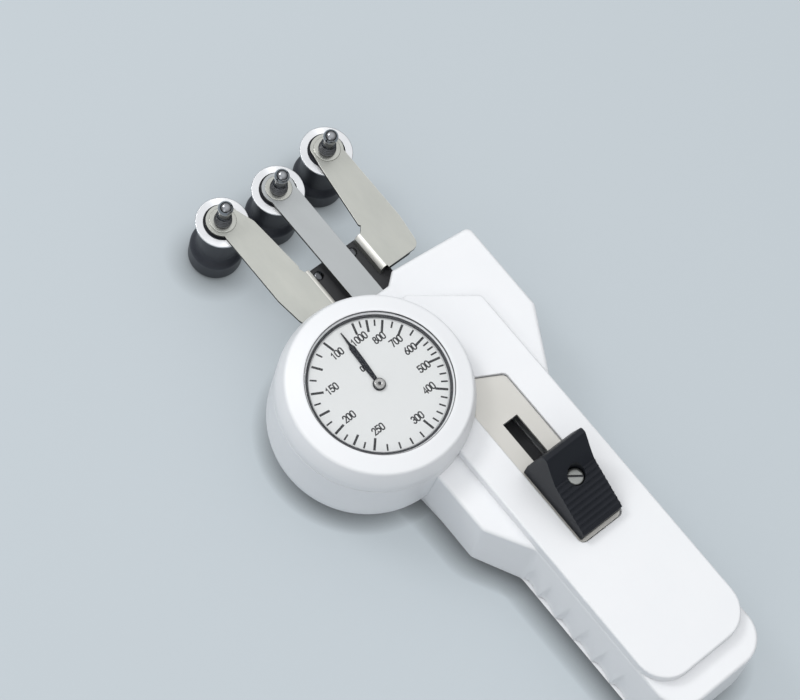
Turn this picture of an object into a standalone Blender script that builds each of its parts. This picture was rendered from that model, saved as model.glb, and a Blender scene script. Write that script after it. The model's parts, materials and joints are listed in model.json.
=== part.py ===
"""Hand-held three-roller dial tension gauge, as separate pieces at real size.

Metres, +Z up. The underside lies at z = 0. The handle's axis is x = 0, the dial's
centre is at y = 0, and the rollers stand at the +Y end.
"""

import math

import bmesh
import bpy
from mathutils import Vector

# Fits
GAP = 0.0003
FINE_GAP = 0.00015
RUNNING_GAP = 0.0001
CUT_OVERRUN = 0.002
JOIN_OVERLAP = 0.0004

# Heights of the housing
COVER_FLOOR = 0.0024
COVER_TOP = 0.0067
FOOT_Z = COVER_TOP + GAP
BASE_TOP = 0.0301
TOP_WALL = 0.0012
SIDE_WALL = 0.0016
CEILING = BASE_TOP - TOP_WALL
DECK_TOP = 0.0340
RECESS_FLOOR = 0.0318
FRONT_OPENING_SILL = 0.0185
COVER_TAPER = 0.0030

# Base and handle, seen from above
BASE_RIGHT = 0.03425
BASE_LEFT = 0.0300
BASE_FRONT = 0.0309
BASE_FRONT_SLOPE = 0.0029
FRONT_RECESS = 0.0034
FRONT_RECESS_EDGE = 0.0034
FRONT_RECESS_RAMP = 0.0042
RIGHT_SIDE_REAR = -0.0060
RIGHT_SHOULDER_REAR = -0.0290
LEFT_SIDE_REAR = -0.0545
LEFT_SHOULDER_REAR = -0.0700
GRIP_HALF_WIDTH = 0.0205
GRIP_WAIST_REAR = -0.0560
GRIP_SWELL = 0.0007
GRIP_END = -0.1385
GRIP_END_RADIUS = 0.0110
BASE_CORNER_RADIUS = 0.0022
SHOULDER_RADIUS = 0.0045
BASE_DRAFT = 0.0006
GRIP_DRAFT = 0.0016
TOP_EDGE_RADIUS = 0.0012

# Finger scallops along the handle's left wall
SCALLOP_START = -0.0719
SCALLOP_FIRST = -0.0794
SCALLOP_PITCH = 0.0090
SCALLOP_DEPTH = 0.0013
SCALLOP_RUN_IN = 0.0021
SCALLOP_COUNT = 6
SCALLOP_TOP = 0.0250

# Raised deck with the knob's window
DECK_HALF_WIDTH = 0.0203
DECK_FRONT = 0.0207
DECK_FRONT_RIGHT = 0.0062
DECK_REAR = -0.1290
DECK_EDGE_RADIUS = 0.0008
WINDOW_HALF_WIDTH = 0.0090
WINDOW_FRONT_LEFT = -0.0097
WINDOW_FRONT_RIGHT = -0.0192
WINDOW_REAR = -0.0780
WINDOW_CORNER_RADIUS = 0.0022
WINDOW_PLATE_THICKNESS = 0.0010
SLOT_HALF_WIDTH = 0.0030
SLOT_FRONT = -0.03205
SLOT_SPARE = 0.0010

# Dial: drum, bezel, crystal and plate
DRUM_RADIUS = 0.0323
DRUM_REACH = 0.0019
DRUM_FOOT_INSET = 0.0028
DRUM_ROUND_HEIGHT = 0.0080
DRUM_TOP = 0.03415
DRUM_WALL = 0.0044
LEDGE_WIDTH = 0.0020
LEDGE_TOP = 0.0310
BEZEL_WALL = 0.0041
SPIGOT_WALL = 0.0012
SPIGOT_TOP = 0.0375
BEZEL_SHOULDER_Z = 0.0405
BEZEL_EDGE_INSET = 0.0024
BEZEL_EDGE_Z = 0.0452
BEZEL_CROWN_WIDTH = 0.00515
BEZEL_LIP = 0.00062
BEZEL_TOP = 0.0464
CRYSTAL_SEAT_WIDTH = 0.00083
CRYSTAL_SEAT_Z = 0.04545
CRYSTAL_THICKNESS = 0.0005
BEZEL_SLOPE_WIDTH = 0.00065
DIAL_PLATE_TOP = 0.04407
DIAL_PLATE_THICKNESS = 0.0008
RETAINING_RING_WIDTH = 0.0027
RETAINING_RING_THICKNESS = 0.0010
DIAL_X = DRUM_REACH - DRUM_RADIUS
DRUM_FOOT_RADIUS = DRUM_RADIUS - DRUM_FOOT_INSET
DRUM_WALL_RADIUS = DRUM_RADIUS - DRUM_WALL
SPIGOT_RADIUS = DRUM_RADIUS - BEZEL_WALL
SPIGOT_BORE = SPIGOT_RADIUS - SPIGOT_WALL
LEDGE_RADIUS = SPIGOT_BORE - LEDGE_WIDTH
RETAINING_RING_BORE = SPIGOT_RADIUS - RETAINING_RING_WIDTH
BEZEL_EDGE_RADIUS = DRUM_RADIUS - BEZEL_EDGE_INSET
BEZEL_RIM_RADIUS = BEZEL_EDGE_RADIUS - BEZEL_CROWN_WIDTH
DIAL_OPENING_RADIUS = BEZEL_RIM_RADIUS - BEZEL_LIP
CRYSTAL_SEAT_RADIUS = DIAL_OPENING_RADIUS - CRYSTAL_SEAT_WIDTH
DIAL_VISIBLE_RADIUS = CRYSTAL_SEAT_RADIUS - BEZEL_SLOPE_WIDTH

# Movement
PINION_TEETH = 12
SECTOR_FULL_TEETH = 120
SECTOR_TEETH = 15
GEAR_THICKNESS = 0.0012
PINION_HEIGHT = 0.0022
GEAR_Z = 0.0342
TOOTH_HEIGHT_share = 0.20
TOOTH_OUTLINE_shares = ((-0.30, -1.0), (-0.13, 0.75), (0.13, 0.75), (0.30, -1.0))
ARBOR_RADIUS = 0.0006
SECTOR_ARBOR_RADIUS = 0.0008
SECTOR_HUB_RADIUS = 0.0016
LEVER_ARM = 0.0030
LEVER_LENGTH = 0.0046
LEVER_HALF_WIDTH = 0.0019
DRIVE_PIN_INSET = 0.0022
DRIVE_PIN_RADIUS = 0.0006
DRIVE_PIN_FLANGE_RADIUS = 0.0016
DRIVE_PIN_FLANGE = 0.0007
POINTER_SWEEP = math.radians(346.6)
POINTER_REST = math.radians(87.0)
LOWER_PLATE_CLEARANCE = 0.0004
LOWER_PLATE_THICKNESS = 0.0012
UPPER_PLATE_INSET = 0.0031
UPPER_PLATE_THICKNESS = 0.0012
PILLAR_RADIUS = 0.0015
PILLAR_INSET = 0.0030
PILLAR_HEIGHT = 0.0062
POINTER_TIP_CLEARANCE = 0.00205
POINTER_NEEDLE_LENGTH = 0.0056
POINTER_BAR_HALF_WIDTH = 0.0012
POINTER_WAIST_HALF_WIDTH = 0.0008
POINTER_NEEDLE_HALF_WIDTH = 0.0003
POINTER_TAIL = 0.0013
POINTER_THICKNESS = 0.0003
HUB_RADIUS = 0.0018
HUB_THICKNESS = 0.0005

# Rollers and their axles
HEAD_X = -0.0078
ROLLER_SPREAD = 0.0220
CENTER_ROLLER_SETBACK = 0.0017
ROLLER_BOTTOM = 0.0006
ROLLER_FLANGE_RADIUS = 0.0091
ROLLER_WAIST_RADIUS = 0.0068
ROLLER_FLANGE_TOP = 0.0090
ROLLER_FLARE_TOP = 0.0170
ROLLER_EDGE_RADIUS = 0.0024
ROLLER_RING_RADIUS = 0.00893
ROLLER_RING_HOLE = 0.0063
ROLLER_RING_THICKNESS = 0.0008
ROLLER_TOP_WEB = 0.0008
BEARING_RADIUS = 0.0040
AXLE_RADIUS = 0.0020
AXLE_BOTTOM = 0.0030
CLIP_Z = 0.0050
CLIP_THICKNESS = 0.0010
CLIP_RADIUS = 0.0036
CLIP_GROOVE_DEPTH = 0.0005
STUD_FOOT_RADIUS = 0.0030
STUD_NECK_RADIUS = 0.0019
STUD_RING = 0.0004
BALL_RADIUS = 0.00235
BALL_HEIGHT = 0.0097

# Carriage arms and measuring arm
ARM_TOP = 0.0285
ARM_THICKNESS = 0.0012
ARM_BOTTOM = ARM_TOP - ARM_THICKNESS
ARM_END_RADIUS = 0.0056
LEFT_ARM_OUTER = 0.0250
RIGHT_ARM_OUTER = 0.0264
LEFT_ARM_INNER_FRONT = 0.0139
RIGHT_ARM_INNER_FRONT = 0.0158
LEFT_ARM_INNER_REAR = 0.0122
RIGHT_ARM_INNER_REAR = 0.0132
ARM_LENGTH = 0.0447
ARM_BASE_CLEARANCE = 0.0019
ARM_DRUM_CLEARANCE = 0.0005
ARM_REAR_INSET = 0.0015
ARM_CORNER_RADIUS = 0.0030
ARM_INNER_SETBACK = 0.0060
FOLD_X = 0.0096
FOLD_SETBACK = 0.0009
FOLD_LENGTH = 0.0139
FOLD_RADIUS = 0.0022
FOLD_FOOT = 0.0050
MEASURING_ARM_RIGHT = 0.0050
MEASURING_ARM_LEFT_FRONT = 0.0044
MEASURING_ARM_LEFT_REAR = 0.0068
MEASURING_ARM_REAR = -0.0040
WEB_TOP = 0.0221
WEB_THICKNESS = 0.0012
WEB_HALF_WIDTH = 0.0108
WEB_LIP = 0.0009
WEB_REAR = 0.0220
BAR_BOTTOM = WEB_TOP + GAP
BAR_THICKNESS = 0.0020
BAR_TOP = BAR_BOTTOM + BAR_THICKNESS
BAR_HALF_WIDTH = 0.0050
BAR_FRONT = 0.0300
BAR_REAR = -0.0700
FASTENER_RADIUS = 0.0012
FASTENER_HEAD_RADIUS = 0.0021
FASTENER_HEAD = 0.0008

# Thumb slider
KNOB_HALF_WIDTH = 0.0082
KNOB_FRONT = -0.0482
KNOB_LENGTH = 0.0283
KNOB_HEIGHT = 0.0213
KNOB_OUTLINE_shares = ((0.0, 0.26), (0.04, 0.62), (0.10, 1.0), (0.17, 1.0), (0.31, 0.76), (0.42, 0.60))
KNOB_TAIL_HEIGHT = 0.0046
KNOB_RIB_COUNT = 9
KNOB_RIB_HEIGHT = 0.00035
KNOB_EDGE_RADIUS = 0.0006
STEM_HALF_WIDTH = 0.0026
STEM_REAR = -0.0665
SCREW_Y = -0.0606
SCREW_HEAD_RADIUS = 0.0029
SCREW_HEAD_TOP = 0.0446
SCREW_HEAD = 0.0016
SCREW_SHANK_RADIUS = 0.0014
SCREW_SLOT_WIDTH = 0.0007
SCREW_SLOT_DEPTH = 0.0006
SCREW_SLOT_ANGLE = math.radians(-36.0)

# Chassis, rails, posts and springs
CHASSIS_BOTTOM = 0.0155
CHASSIS_THICKNESS = 0.0015
CHASSIS_TOP = CHASSIS_BOTTOM + CHASSIS_THICKNESS
CHASSIS_HALF_WIDTH = 0.0160
CHASSIS_FRONT = 0.0205
CHASSIS_REAR = -0.0730
CHASSIS_BOSS_RADIUS = 0.0030
CHASSIS_BOSS_FRONT_X = 0.0125
CHASSIS_BOSS_FRONT_Y = 0.0130
CHASSIS_BOSS_REAR_X = 0.0130
CHASSIS_BOSS_REAR_Y = -0.0680
SEAT_GAP = GAP
RAIL_WALL = 0.0025
RAIL_LIP = 0.0015
RAIL_LIP_THICKNESS = 0.0013
RAIL_FRONT = 0.0120
RAIL_REAR = -0.0720
POST_X = -0.0106
FRONT_POST_Y = 0.0185
REAR_POST_Y = 0.0085
POST_RADIUS = 0.0020
POST_PIN_RADIUS = 0.0012
WIRE_RADIUS = 0.00035
RETURN_SPRING_RADIUS = 0.00155
RETURN_SPRING_FRONT = -0.0143
RETURN_SPRING_TURNS = 13
RETURN_SPRING_Z = 0.01975
SPRING_HOOK_FRONT = -0.0605
SPRING_BLOCK_THICKNESS = 0.0017
SPRING_BLOCK_HALF_WIDTH = 0.0033
MEASURING_SPRING_X = -0.0117
MEASURING_SPRING_Z = 0.0225
MEASURING_SPRING_RADIUS = 0.0016
MEASURING_SPRING_REAR = -0.0130
MEASURING_SPRING_TURNS = 7
MEASURING_TAB_FRONT = -0.0008
MEASURING_TAB_THICKNESS = 0.0012
MEASURING_TAB_HALF_WIDTH = 0.0022

# Rear cover screws
COVER_SCREW_INSET = 0.0073
COVER_SCREW_ANGLES = (math.radians(120.0), math.radians(215.0))
COVER_SCREW_FRONT_X = 0.0285
COVER_SCREW_FRONT_Y = 0.0220
COVER_SCREW_REAR_Y = -0.1310
COVER_BOSS_RADIUS = 0.0034
PAD_WIDTH = 0.0010
COVER_SCREW_RADIUS = 0.0015
COVER_SCREW_HEAD_RADIUS = 0.0029
COVER_SCREW_HEAD = 0.0014
COVER_SCREW_RECESS = 0.0022
COVER_SCREW_LENGTH = 0.0100

# Smoothness
CORNER_STEPS = 3
ROUND_STEPS = 4
BALL_STEPS = 6
SMALL_SIDES = 10
MEDIUM_SIDES = 14
ROLLER_SIDES = 24
DIAL_SIDES = 48
COIL_POINTS = 6
SMOOTH_ANGLE = math.radians(35.0)

# Worked out from the sizes above
ARM_REAR = max(DRUM_RADIUS + ARM_DRUM_CLEARANCE, BASE_FRONT + ARM_BASE_CLEARANCE)
OUTER_ROLLER_Y = ARM_REAR + ARM_LENGTH
CENTER_ROLLER_Y = OUTER_ROLLER_Y - CENTER_ROLLER_SETBACK
ARM_INNER_FRONT_Y = OUTER_ROLLER_Y - ARM_INNER_SETBACK
FOLD_REAR = ARM_REAR + FOLD_SETBACK
FOLD_FRONT = FOLD_REAR + FOLD_LENGTH
WEB_FRONT = FOLD_FRONT + WEB_LIP
WINDOW_PLATE_BOTTOM = RECESS_FLOOR + GAP
WINDOW_PLATE_TOP = WINDOW_PLATE_BOTTOM + WINDOW_PLATE_THICKNESS
KNOB_BOTTOM = WINDOW_PLATE_TOP + GAP
RING_TOP = ARM_BOTTOM - GAP
RING_BOTTOM = RING_TOP - ROLLER_RING_THICKNESS
ROLLER_TOP = RING_BOTTOM - GAP
DRIVE_PIN_CIRCLE = LEDGE_RADIUS - DRIVE_PIN_INSET
PITCH_TO_TEETH = (DRIVE_PIN_CIRCLE - LEVER_ARM) / (PINION_TEETH + SECTOR_FULL_TEETH)
PINION_RADIUS = PINION_TEETH * PITCH_TO_TEETH
SECTOR_RADIUS = SECTOR_FULL_TEETH * PITCH_TO_TEETH
SECTOR_X = DIAL_X + PINION_RADIUS + SECTOR_RADIUS
SECTOR_SWEEP = POINTER_SWEEP * PINION_TEETH / SECTOR_FULL_TEETH
MEASURING_TRAVEL = 2 * LEVER_ARM * math.tan(SECTOR_SWEEP / 2)
DRIVE_PIN_X = SECTOR_X + LEVER_ARM
DRIVE_PIN_Y = MEASURING_TRAVEL / 2
LOWER_PLATE_RADIUS = SPIGOT_BORE - LOWER_PLATE_CLEARANCE
UPPER_PLATE_RADIUS = LOWER_PLATE_RADIUS - UPPER_PLATE_INSET
PILLAR_CIRCLE = UPPER_PLATE_RADIUS - PILLAR_INSET
POINTER_TIP = DIAL_VISIBLE_RADIUS - POINTER_TIP_CLEARANCE
POINTER_SHOULDER = POINTER_TIP - POINTER_NEEDLE_LENGTH
COVER_SCREW_CIRCLE = DRUM_FOOT_RADIUS - COVER_SCREW_INSET
LOWER_PLATE_Z = LEDGE_TOP + GAP
PILLAR_Z = LOWER_PLATE_Z + LOWER_PLATE_THICKNESS + GAP
UPPER_PLATE_Z = PILLAR_Z + PILLAR_HEIGHT + GAP
POINTER_Z = DIAL_PLATE_TOP + GAP
PILLAR_ANGLES = (math.radians(100.0), math.radians(180.0), math.radians(260.0))


class Colour:
    """Colours of the finishes, as linear red, green and blue."""

    WHITE_PAINT = (0.83, 0.85, 0.87)
    SATIN_NICKEL = (0.52, 0.53, 0.50)
    WINDOW_METAL = (0.60, 0.58, 0.53)
    BLACK_PLASTIC = (0.028, 0.030, 0.034)
    DIAL_WHITE = (0.80, 0.82, 0.82)
    GLASS = (0.95, 0.97, 0.98)
    ALUMINIUM = (0.78, 0.79, 0.80)
    CHROME = (0.72, 0.74, 0.76)
    STEEL = (0.45, 0.46, 0.47)
    DARK_STEEL = (0.10, 0.10, 0.11)
    BRASS = (0.62, 0.46, 0.18)


def finish(name, colour, roughness, metallic):
    """Makes a material with one colour, roughness and metallic value."""
    made = bpy.data.materials.new(name)
    made.use_nodes = True
    shader = made.node_tree.nodes["Principled BSDF"]
    shader.inputs["Base Color"].default_value = (*colour, 1.0)
    shader.inputs["Roughness"].default_value = roughness
    shader.inputs["Metallic"].default_value = metallic
    return made


# Plane outlines

def arc(centre, radius, start, end, steps):
    """Points of an arc, both ends included."""
    turn = (end - start) / steps
    return [
        (centre[0] + radius * math.cos(start + turn * i), centre[1] + radius * math.sin(start + turn * i))
        for i in range(steps + 1)
    ]


def rounded(corners, steps=CORNER_STEPS):
    """Points of a closed outline whose corners (x, y, radius) are rounded by arcs."""
    points = []
    for i, (x, y, radius) in enumerate(corners):
        here = Vector((x, y))
        if not radius:
            points.append((x, y))
            continue
        before = (Vector(corners[i - 1][:2]) - here).normalized()
        after = (Vector(corners[(i + 1) % len(corners)][:2]) - here).normalized()
        half = before.angle(after) / 2
        centre = here + (before + after).normalized() * radius / math.sin(half)
        first = here + before * radius / math.tan(half) - centre
        last = here + after * radius / math.tan(half) - centre
        start = math.atan2(first.y, first.x)
        swing = math.remainder(math.atan2(last.y, last.x) - start, math.tau)
        points += arc(centre, radius, start, start + swing, steps)
    return points


def circle(radius, sides, centre=(0.0, 0.0)):
    """Points of a full circle."""
    return arc(centre, radius, 0.0, math.tau, sides)[:-1]


# Solids

def keep(name, mesh_data):
    """Turns a bmesh into an object at the origin, with its faces pointing out."""
    bmesh.ops.recalc_face_normals(mesh_data, faces=mesh_data.faces)
    mesh = bpy.data.meshes.new(name)
    mesh_data.to_mesh(mesh)
    mesh_data.free()
    made = bpy.data.objects.new(name, mesh)
    bpy.context.collection.objects.link(made)
    return made


def loft(name, rings):
    """A solid through closed outlines; rings holds (outline, height) from bottom to top."""
    shape = bmesh.new()
    layers = [[shape.verts.new((x, y, z)) for x, y in outline] for outline, z in rings]
    for low, high in zip(layers, layers[1:]):
        count = len(low)
        for i in range(count):
            after = (i + 1) % count
            shape.faces.new((low[i], low[after], high[after], high[i]))
    shape.faces.new(reversed(layers[0]))
    shape.faces.new(layers[-1])
    return keep(name, shape)


def prism(name, outline, bottom, top):
    """An outline extruded straight up."""
    return loft(name, [(outline, bottom), (outline, top)])


def block(name, low, high):
    """A rectangular block between two corners."""
    outline = [(low[0], low[1]), (high[0], low[1]), (high[0], high[1]), (low[0], high[1])]
    return prism(name, outline, low[2], high[2])


def slab(name, bottom, top):
    """A block wider and longer than the gauge, which cuts it level."""
    reach = -GRIP_END
    return block(name, (-reach, GRIP_END - reach, bottom), (reach, reach, top))


def extruded_along(name, axis, profile, start, end):
    """A profile swept along X (profile in y, z) or along Y (profile in x, z)."""
    shape = bmesh.new()

    def corner(first, second, along):
        return (along, first, second) if axis == "X" else (first, along, second)

    face = shape.faces.new([shape.verts.new(corner(a, b, start)) for a, b in profile])
    swept = bmesh.ops.extrude_face_region(shape, geom=[face])
    moved = [item for item in swept["geom"] if isinstance(item, bmesh.types.BMVert)]
    step = Vector(corner(0.0, 0.0, end - start))
    bmesh.ops.translate(shape, verts=moved, vec=step)
    return keep(name, shape)


def turned(name, profile, sides, centre=(0.0, 0.0)):
    """A closed profile of (radius, height) points spun about a vertical axis."""
    shape = bmesh.new()
    corners = [shape.verts.new((radius, 0.0, height)) for radius, height in profile]
    edges = [shape.edges.new((corners[i - 1], corners[i])) for i in range(len(corners))]
    bmesh.ops.spin(
        shape, geom=corners + edges, cent=(0.0, 0.0, 0.0), axis=(0.0, 0.0, 1.0),
        angle=math.tau, steps=sides, use_merge=True,
    )
    bmesh.ops.remove_doubles(shape, verts=shape.verts, dist=GAP / 100)
    bmesh.ops.translate(shape, verts=shape.verts, vec=(centre[0], centre[1], 0.0))
    return keep(name, shape)


def rod(name, radius, bottom, top, sides=SMALL_SIDES, centre=(0.0, 0.0)):
    """A plain upright cylinder."""
    return prism(name, circle(radius, sides, centre), bottom, top)


def coil(name, radius, length, turns):
    """A compression spring along +Y from the origin, as one bent wire."""
    path = bpy.data.curves.new(name, "CURVE")
    path.dimensions = "3D"
    path.bevel_depth = WIRE_RADIUS
    path.bevel_resolution = 1
    path.use_fill_caps = True
    line = path.splines.new("POLY")
    count = turns * COIL_POINTS
    line.points.add(count)
    for i, point in enumerate(line.points):
        angle = math.tau * i / COIL_POINTS
        point.co = (radius * math.cos(angle), length * i / count, radius * math.sin(angle), 1.0)
    made = bpy.data.objects.new(name, path)
    bpy.context.collection.objects.link(made)
    return made


def combine(target, tool, operation):
    """Joins a tool to the target or cuts it away, and drops the tool."""
    modifier = target.modifiers.new(operation.title(), "BOOLEAN")
    modifier.operation = operation
    modifier.object = tool
    tool.hide_render = True
    tool.display_type = "WIRE"
    result = target.evaluated_get(bpy.context.evaluated_depsgraph_get())
    mesh = bpy.data.meshes.new_from_object(result)
    target.modifiers.clear()
    target.data = mesh
    bpy.data.objects.remove(tool)
    return target


def join(target, *tools):
    """Adds tools to the target."""
    for tool in tools:
        combine(target, tool, "UNION")
    return target


def cut(target, *tools):
    """Cuts tools away from the target."""
    for tool in tools:
        combine(target, tool, "DIFFERENCE")
    return target


class Assembly:
    """Places finished pieces, each under the empty of the body that it moves with."""

    def __init__(self):
        self.axes = {}

    def axis(self, name, at, parent=None):
        """Adds an empty on a joint's axis."""
        empty = bpy.data.objects.new(name, None)
        bpy.context.collection.objects.link(empty)
        self.axes[name] = Vector(at)
        if parent:
            empty.parent = bpy.data.objects[parent]
        empty.location = Vector(at) - (self.axes[parent] if parent else Vector())
        return name

    def add(self, piece, material, axis=None, at=(0.0, 0.0, 0.0)):
        """Gives a piece its material and hangs it on an axis; its own origin goes to the point at."""
        piece.data.materials.clear()
        piece.data.materials.append(material)
        if piece.type == "MESH":
            piece.data.shade_smooth()
            piece.data.set_sharp_from_angle(angle=SMOOTH_ANGLE)
        if axis:
            piece.parent = bpy.data.objects[axis]
        piece.location = Vector(at) - (self.axes[axis] if axis else Vector())


# Housing

def housing_outline(base, grip):
    """The housing from above, moved outwards by base at the wide part and by grip at the handle."""
    front = BASE_FRONT + base
    right = BASE_RIGHT + base
    left = -BASE_LEFT - base
    half = GRIP_HALF_WIDTH + grip
    recess = front - FRONT_RECESS
    corners = [
        (DIAL_X, recess, 0.0),
        (FRONT_RECESS_EDGE - FRONT_RECESS_RAMP, recess, 0.0),
        (FRONT_RECESS_EDGE, front, 0.0),
        (right, front - BASE_FRONT_SLOPE, BASE_CORNER_RADIUS),
        (right, RIGHT_SIDE_REAR - base, BASE_CORNER_RADIUS),
        (half + GRIP_SWELL, RIGHT_SHOULDER_REAR - grip, SHOULDER_RADIUS),
        (half - GRIP_SWELL / 2, GRIP_WAIST_REAR, 0.0),
        (half, GRIP_END - grip, GRIP_END_RADIUS + grip),
        (-half, GRIP_END - grip, GRIP_END_RADIUS + grip),
        (-half, LEFT_SHOULDER_REAR - grip, SHOULDER_RADIUS),
        (left, LEFT_SIDE_REAR - grip, SHOULDER_RADIUS),
    ]
    return rounded(corners)[::-1]


def deck_outline(out):
    """The raised deck from above, moved outwards by a distance."""
    half = DECK_HALF_WIDTH + out
    corners = [
        (-half, DECK_FRONT + out, 0.0),
        (0.0, DECK_FRONT + out, 0.0),
        (half, DECK_FRONT_RIGHT + out, BASE_CORNER_RADIUS),
        (half, DECK_REAR - out, GRIP_END_RADIUS + out),
        (-half, DECK_REAR - out, GRIP_END_RADIUS + out),
    ]
    return rounded(corners)[::-1]


def edge_rings(outline_of, top, radius):
    """Rings that round the top edge of a loft."""
    rings = []
    for i in range(1, CORNER_STEPS + 1):
        angle = math.pi / 2 * i / CORNER_STEPS
        rings.append((outline_of(radius * (math.cos(angle) - 1)), top - radius * (1 - math.sin(angle))))
    return rings


def window_outline(out):
    """The window from above, moved outwards by a distance."""
    half = WINDOW_HALF_WIDTH + out
    corners = [
        (-half, WINDOW_FRONT_LEFT + out, 0.0),
        (half, WINDOW_FRONT_RIGHT + out, WINDOW_CORNER_RADIUS),
        (half, WINDOW_REAR - out, WINDOW_CORNER_RADIUS),
        (-half, WINDOW_REAR - out, WINDOW_CORNER_RADIUS),
    ]
    return rounded(corners)[::-1]


def slot_outline(out):
    """The knob's slot from above, moved outwards by a distance."""
    rear = STEM_REAR - SLOT_SPARE
    half = SLOT_HALF_WIDTH + out
    return [(-half, rear - out), (half, rear - out), (half, SLOT_FRONT + out), (-half, SLOT_FRONT + out)]


def scallop_cutter():
    """A saw-toothed bar: each scallop runs in quickly and out slowly."""
    cusp = -GRIP_HALF_WIDTH - GRIP_DRAFT
    hollow = cusp + SCALLOP_DEPTH
    outside = cusp - SIDE_WALL * 2
    cusps = [SCALLOP_START] + [SCALLOP_FIRST - SCALLOP_PITCH * i for i in range(SCALLOP_COUNT)]
    points = [(outside, SCALLOP_START)]
    for start, end in zip(cusps, cusps[1:]):
        points.append((cusp, start))
        points.append((hollow, start - SCALLOP_RUN_IN))
        for step in range(1, CORNER_STEPS):
            share = step / CORNER_STEPS
            slow = start - SCALLOP_RUN_IN + (end - start + SCALLOP_RUN_IN) * share
            points.append((hollow - SCALLOP_DEPTH * share * share, slow))
    points += [(cusp, cusps[-1]), (outside, cusps[-1])]
    return prism("scallops", points, FOOT_Z - CUT_OVERRUN, SCALLOP_TOP)


def cover_screw_places():
    """Where the rear cover's screws stand, from above."""
    places = [
        (DIAL_X + COVER_SCREW_CIRCLE * math.cos(angle), COVER_SCREW_CIRCLE * math.sin(angle))
        for angle in COVER_SCREW_ANGLES
    ]
    return places + [(COVER_SCREW_FRONT_X, COVER_SCREW_FRONT_Y), (0.0, COVER_SCREW_REAR_Y)]


def chassis_screw_places():
    """Where the chassis plate's screws stand, from above."""
    return [
        (CHASSIS_BOSS_FRONT_X, CHASSIS_BOSS_FRONT_Y),
        (CHASSIS_BOSS_REAR_X, CHASSIS_BOSS_REAR_Y),
        (-CHASSIS_BOSS_REAR_X, CHASSIS_BOSS_REAR_Y),
    ]


def drum_outside():
    """Outer profile of the drum from its foot to its spigot."""
    flare = DRUM_RADIUS - DRUM_FOOT_RADIUS
    below = FOOT_Z - CUT_OVERRUN
    side = [
        (DRUM_FOOT_RADIUS + flare * math.sin(math.pi / 2 * i / ROUND_STEPS),
         FOOT_Z + DRUM_ROUND_HEIGHT * (1 - math.cos(math.pi / 2 * i / ROUND_STEPS)))
        for i in range(ROUND_STEPS + 1)
    ]
    return [(0.0, below), (DRUM_FOOT_RADIUS, below)] + side + [
        (DRUM_RADIUS, DRUM_TOP), (SPIGOT_RADIUS, DRUM_TOP), (SPIGOT_RADIUS, SPIGOT_TOP), (0.0, SPIGOT_TOP),
    ]


def housing_core():
    """What is hollow inside the casting: the base's cavity and the drum's stepped well, around the bosses."""
    centre = (DIAL_X, 0.0)
    below = FOOT_Z - CUT_OVERRUN * 2
    well = [
        (0.0, below), (DRUM_WALL_RADIUS, below), (DRUM_WALL_RADIUS, CEILING), (LEDGE_RADIUS, CEILING),
        (LEDGE_RADIUS, LEDGE_TOP), (SPIGOT_BORE, LEDGE_TOP), (SPIGOT_BORE, SPIGOT_TOP + CUT_OVERRUN),
        (0.0, SPIGOT_TOP + CUT_OVERRUN),
    ]
    core = turned("well", well, DIAL_SIDES, centre)
    join(core, prism("hollow", housing_outline(-SIDE_WALL, -SIDE_WALL), below, CEILING))
    top = CEILING + TOP_WALL / 2
    for i, place in enumerate(cover_screw_places()):
        cut(core, rod(f"boss{i}", COVER_BOSS_RADIUS, below - CUT_OVERRUN, top, SMALL_SIDES, place))
    for i, place in enumerate(chassis_screw_places()):
        cut(core, rod(f"lug{i}", CHASSIS_BOSS_RADIUS, CHASSIS_TOP + SEAT_GAP, top, SMALL_SIDES, place))
    return core


def main_housing():
    """The casting: base, handle, drum and deck, hollow and open below."""
    centre = (DIAL_X, 0.0)
    below = FOOT_Z - CUT_OVERRUN
    foot = housing_outline(BASE_DRAFT, GRIP_DRAFT)
    rings = [(foot, below), (foot, FOOT_Z), (housing_outline(0.0, 0.0), BASE_TOP - TOP_EDGE_RADIUS)]
    rings += edge_rings(lambda out: housing_outline(out, out), BASE_TOP, TOP_EDGE_RADIUS)
    casting = loft("main_housing", rings)
    deck = [(deck_outline(0.0), CEILING + TOP_WALL / 2), (deck_outline(0.0), DECK_TOP - DECK_EDGE_RADIUS)]
    join(
        casting,
        loft("deck", deck + edge_rings(deck_outline, DECK_TOP, DECK_EDGE_RADIUS)),
        turned("drum", drum_outside(), DIAL_SIDES, centre),
    )
    recess = prism("recess", window_outline(0.0), RECESS_FLOOR, DECK_TOP + CUT_OVERRUN)
    cut(recess, rod("bezel_clear", DRUM_RADIUS + GAP, CEILING, DECK_TOP + CUT_OVERRUN * 2, DIAL_SIDES, centre))
    slot = prism("slot", slot_outline(GAP), CEILING - CUT_OVERRUN, DECK_TOP)
    mouth = block(
        "mouth",
        (HEAD_X - WEB_HALF_WIDTH - CUT_OVERRUN / 2, WEB_REAR, FRONT_OPENING_SILL),
        (BAR_HALF_WIDTH + CUT_OVERRUN, max(BASE_FRONT, DRUM_RADIUS) + CUT_OVERRUN, CEILING),
    )
    ground = slab("ground", -CUT_OVERRUN, FOOT_Z)
    cut(casting, ground, recess, housing_core(), slot, mouth, scallop_cutter())
    for i, place in enumerate(cover_screw_places()):
        bore = rod(f"bore{i}", COVER_SCREW_RADIUS + GAP, below, FOOT_Z + COVER_SCREW_LENGTH, SMALL_SIDES, place)
        cut(casting, bore)
    for i, place in enumerate(chassis_screw_places()):
        bore = rod(f"tap{i}", FASTENER_RADIUS + GAP, CHASSIS_TOP - GAP, CEILING - TOP_WALL, SMALL_SIDES, place)
        cut(casting, bore)
    return casting


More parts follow.
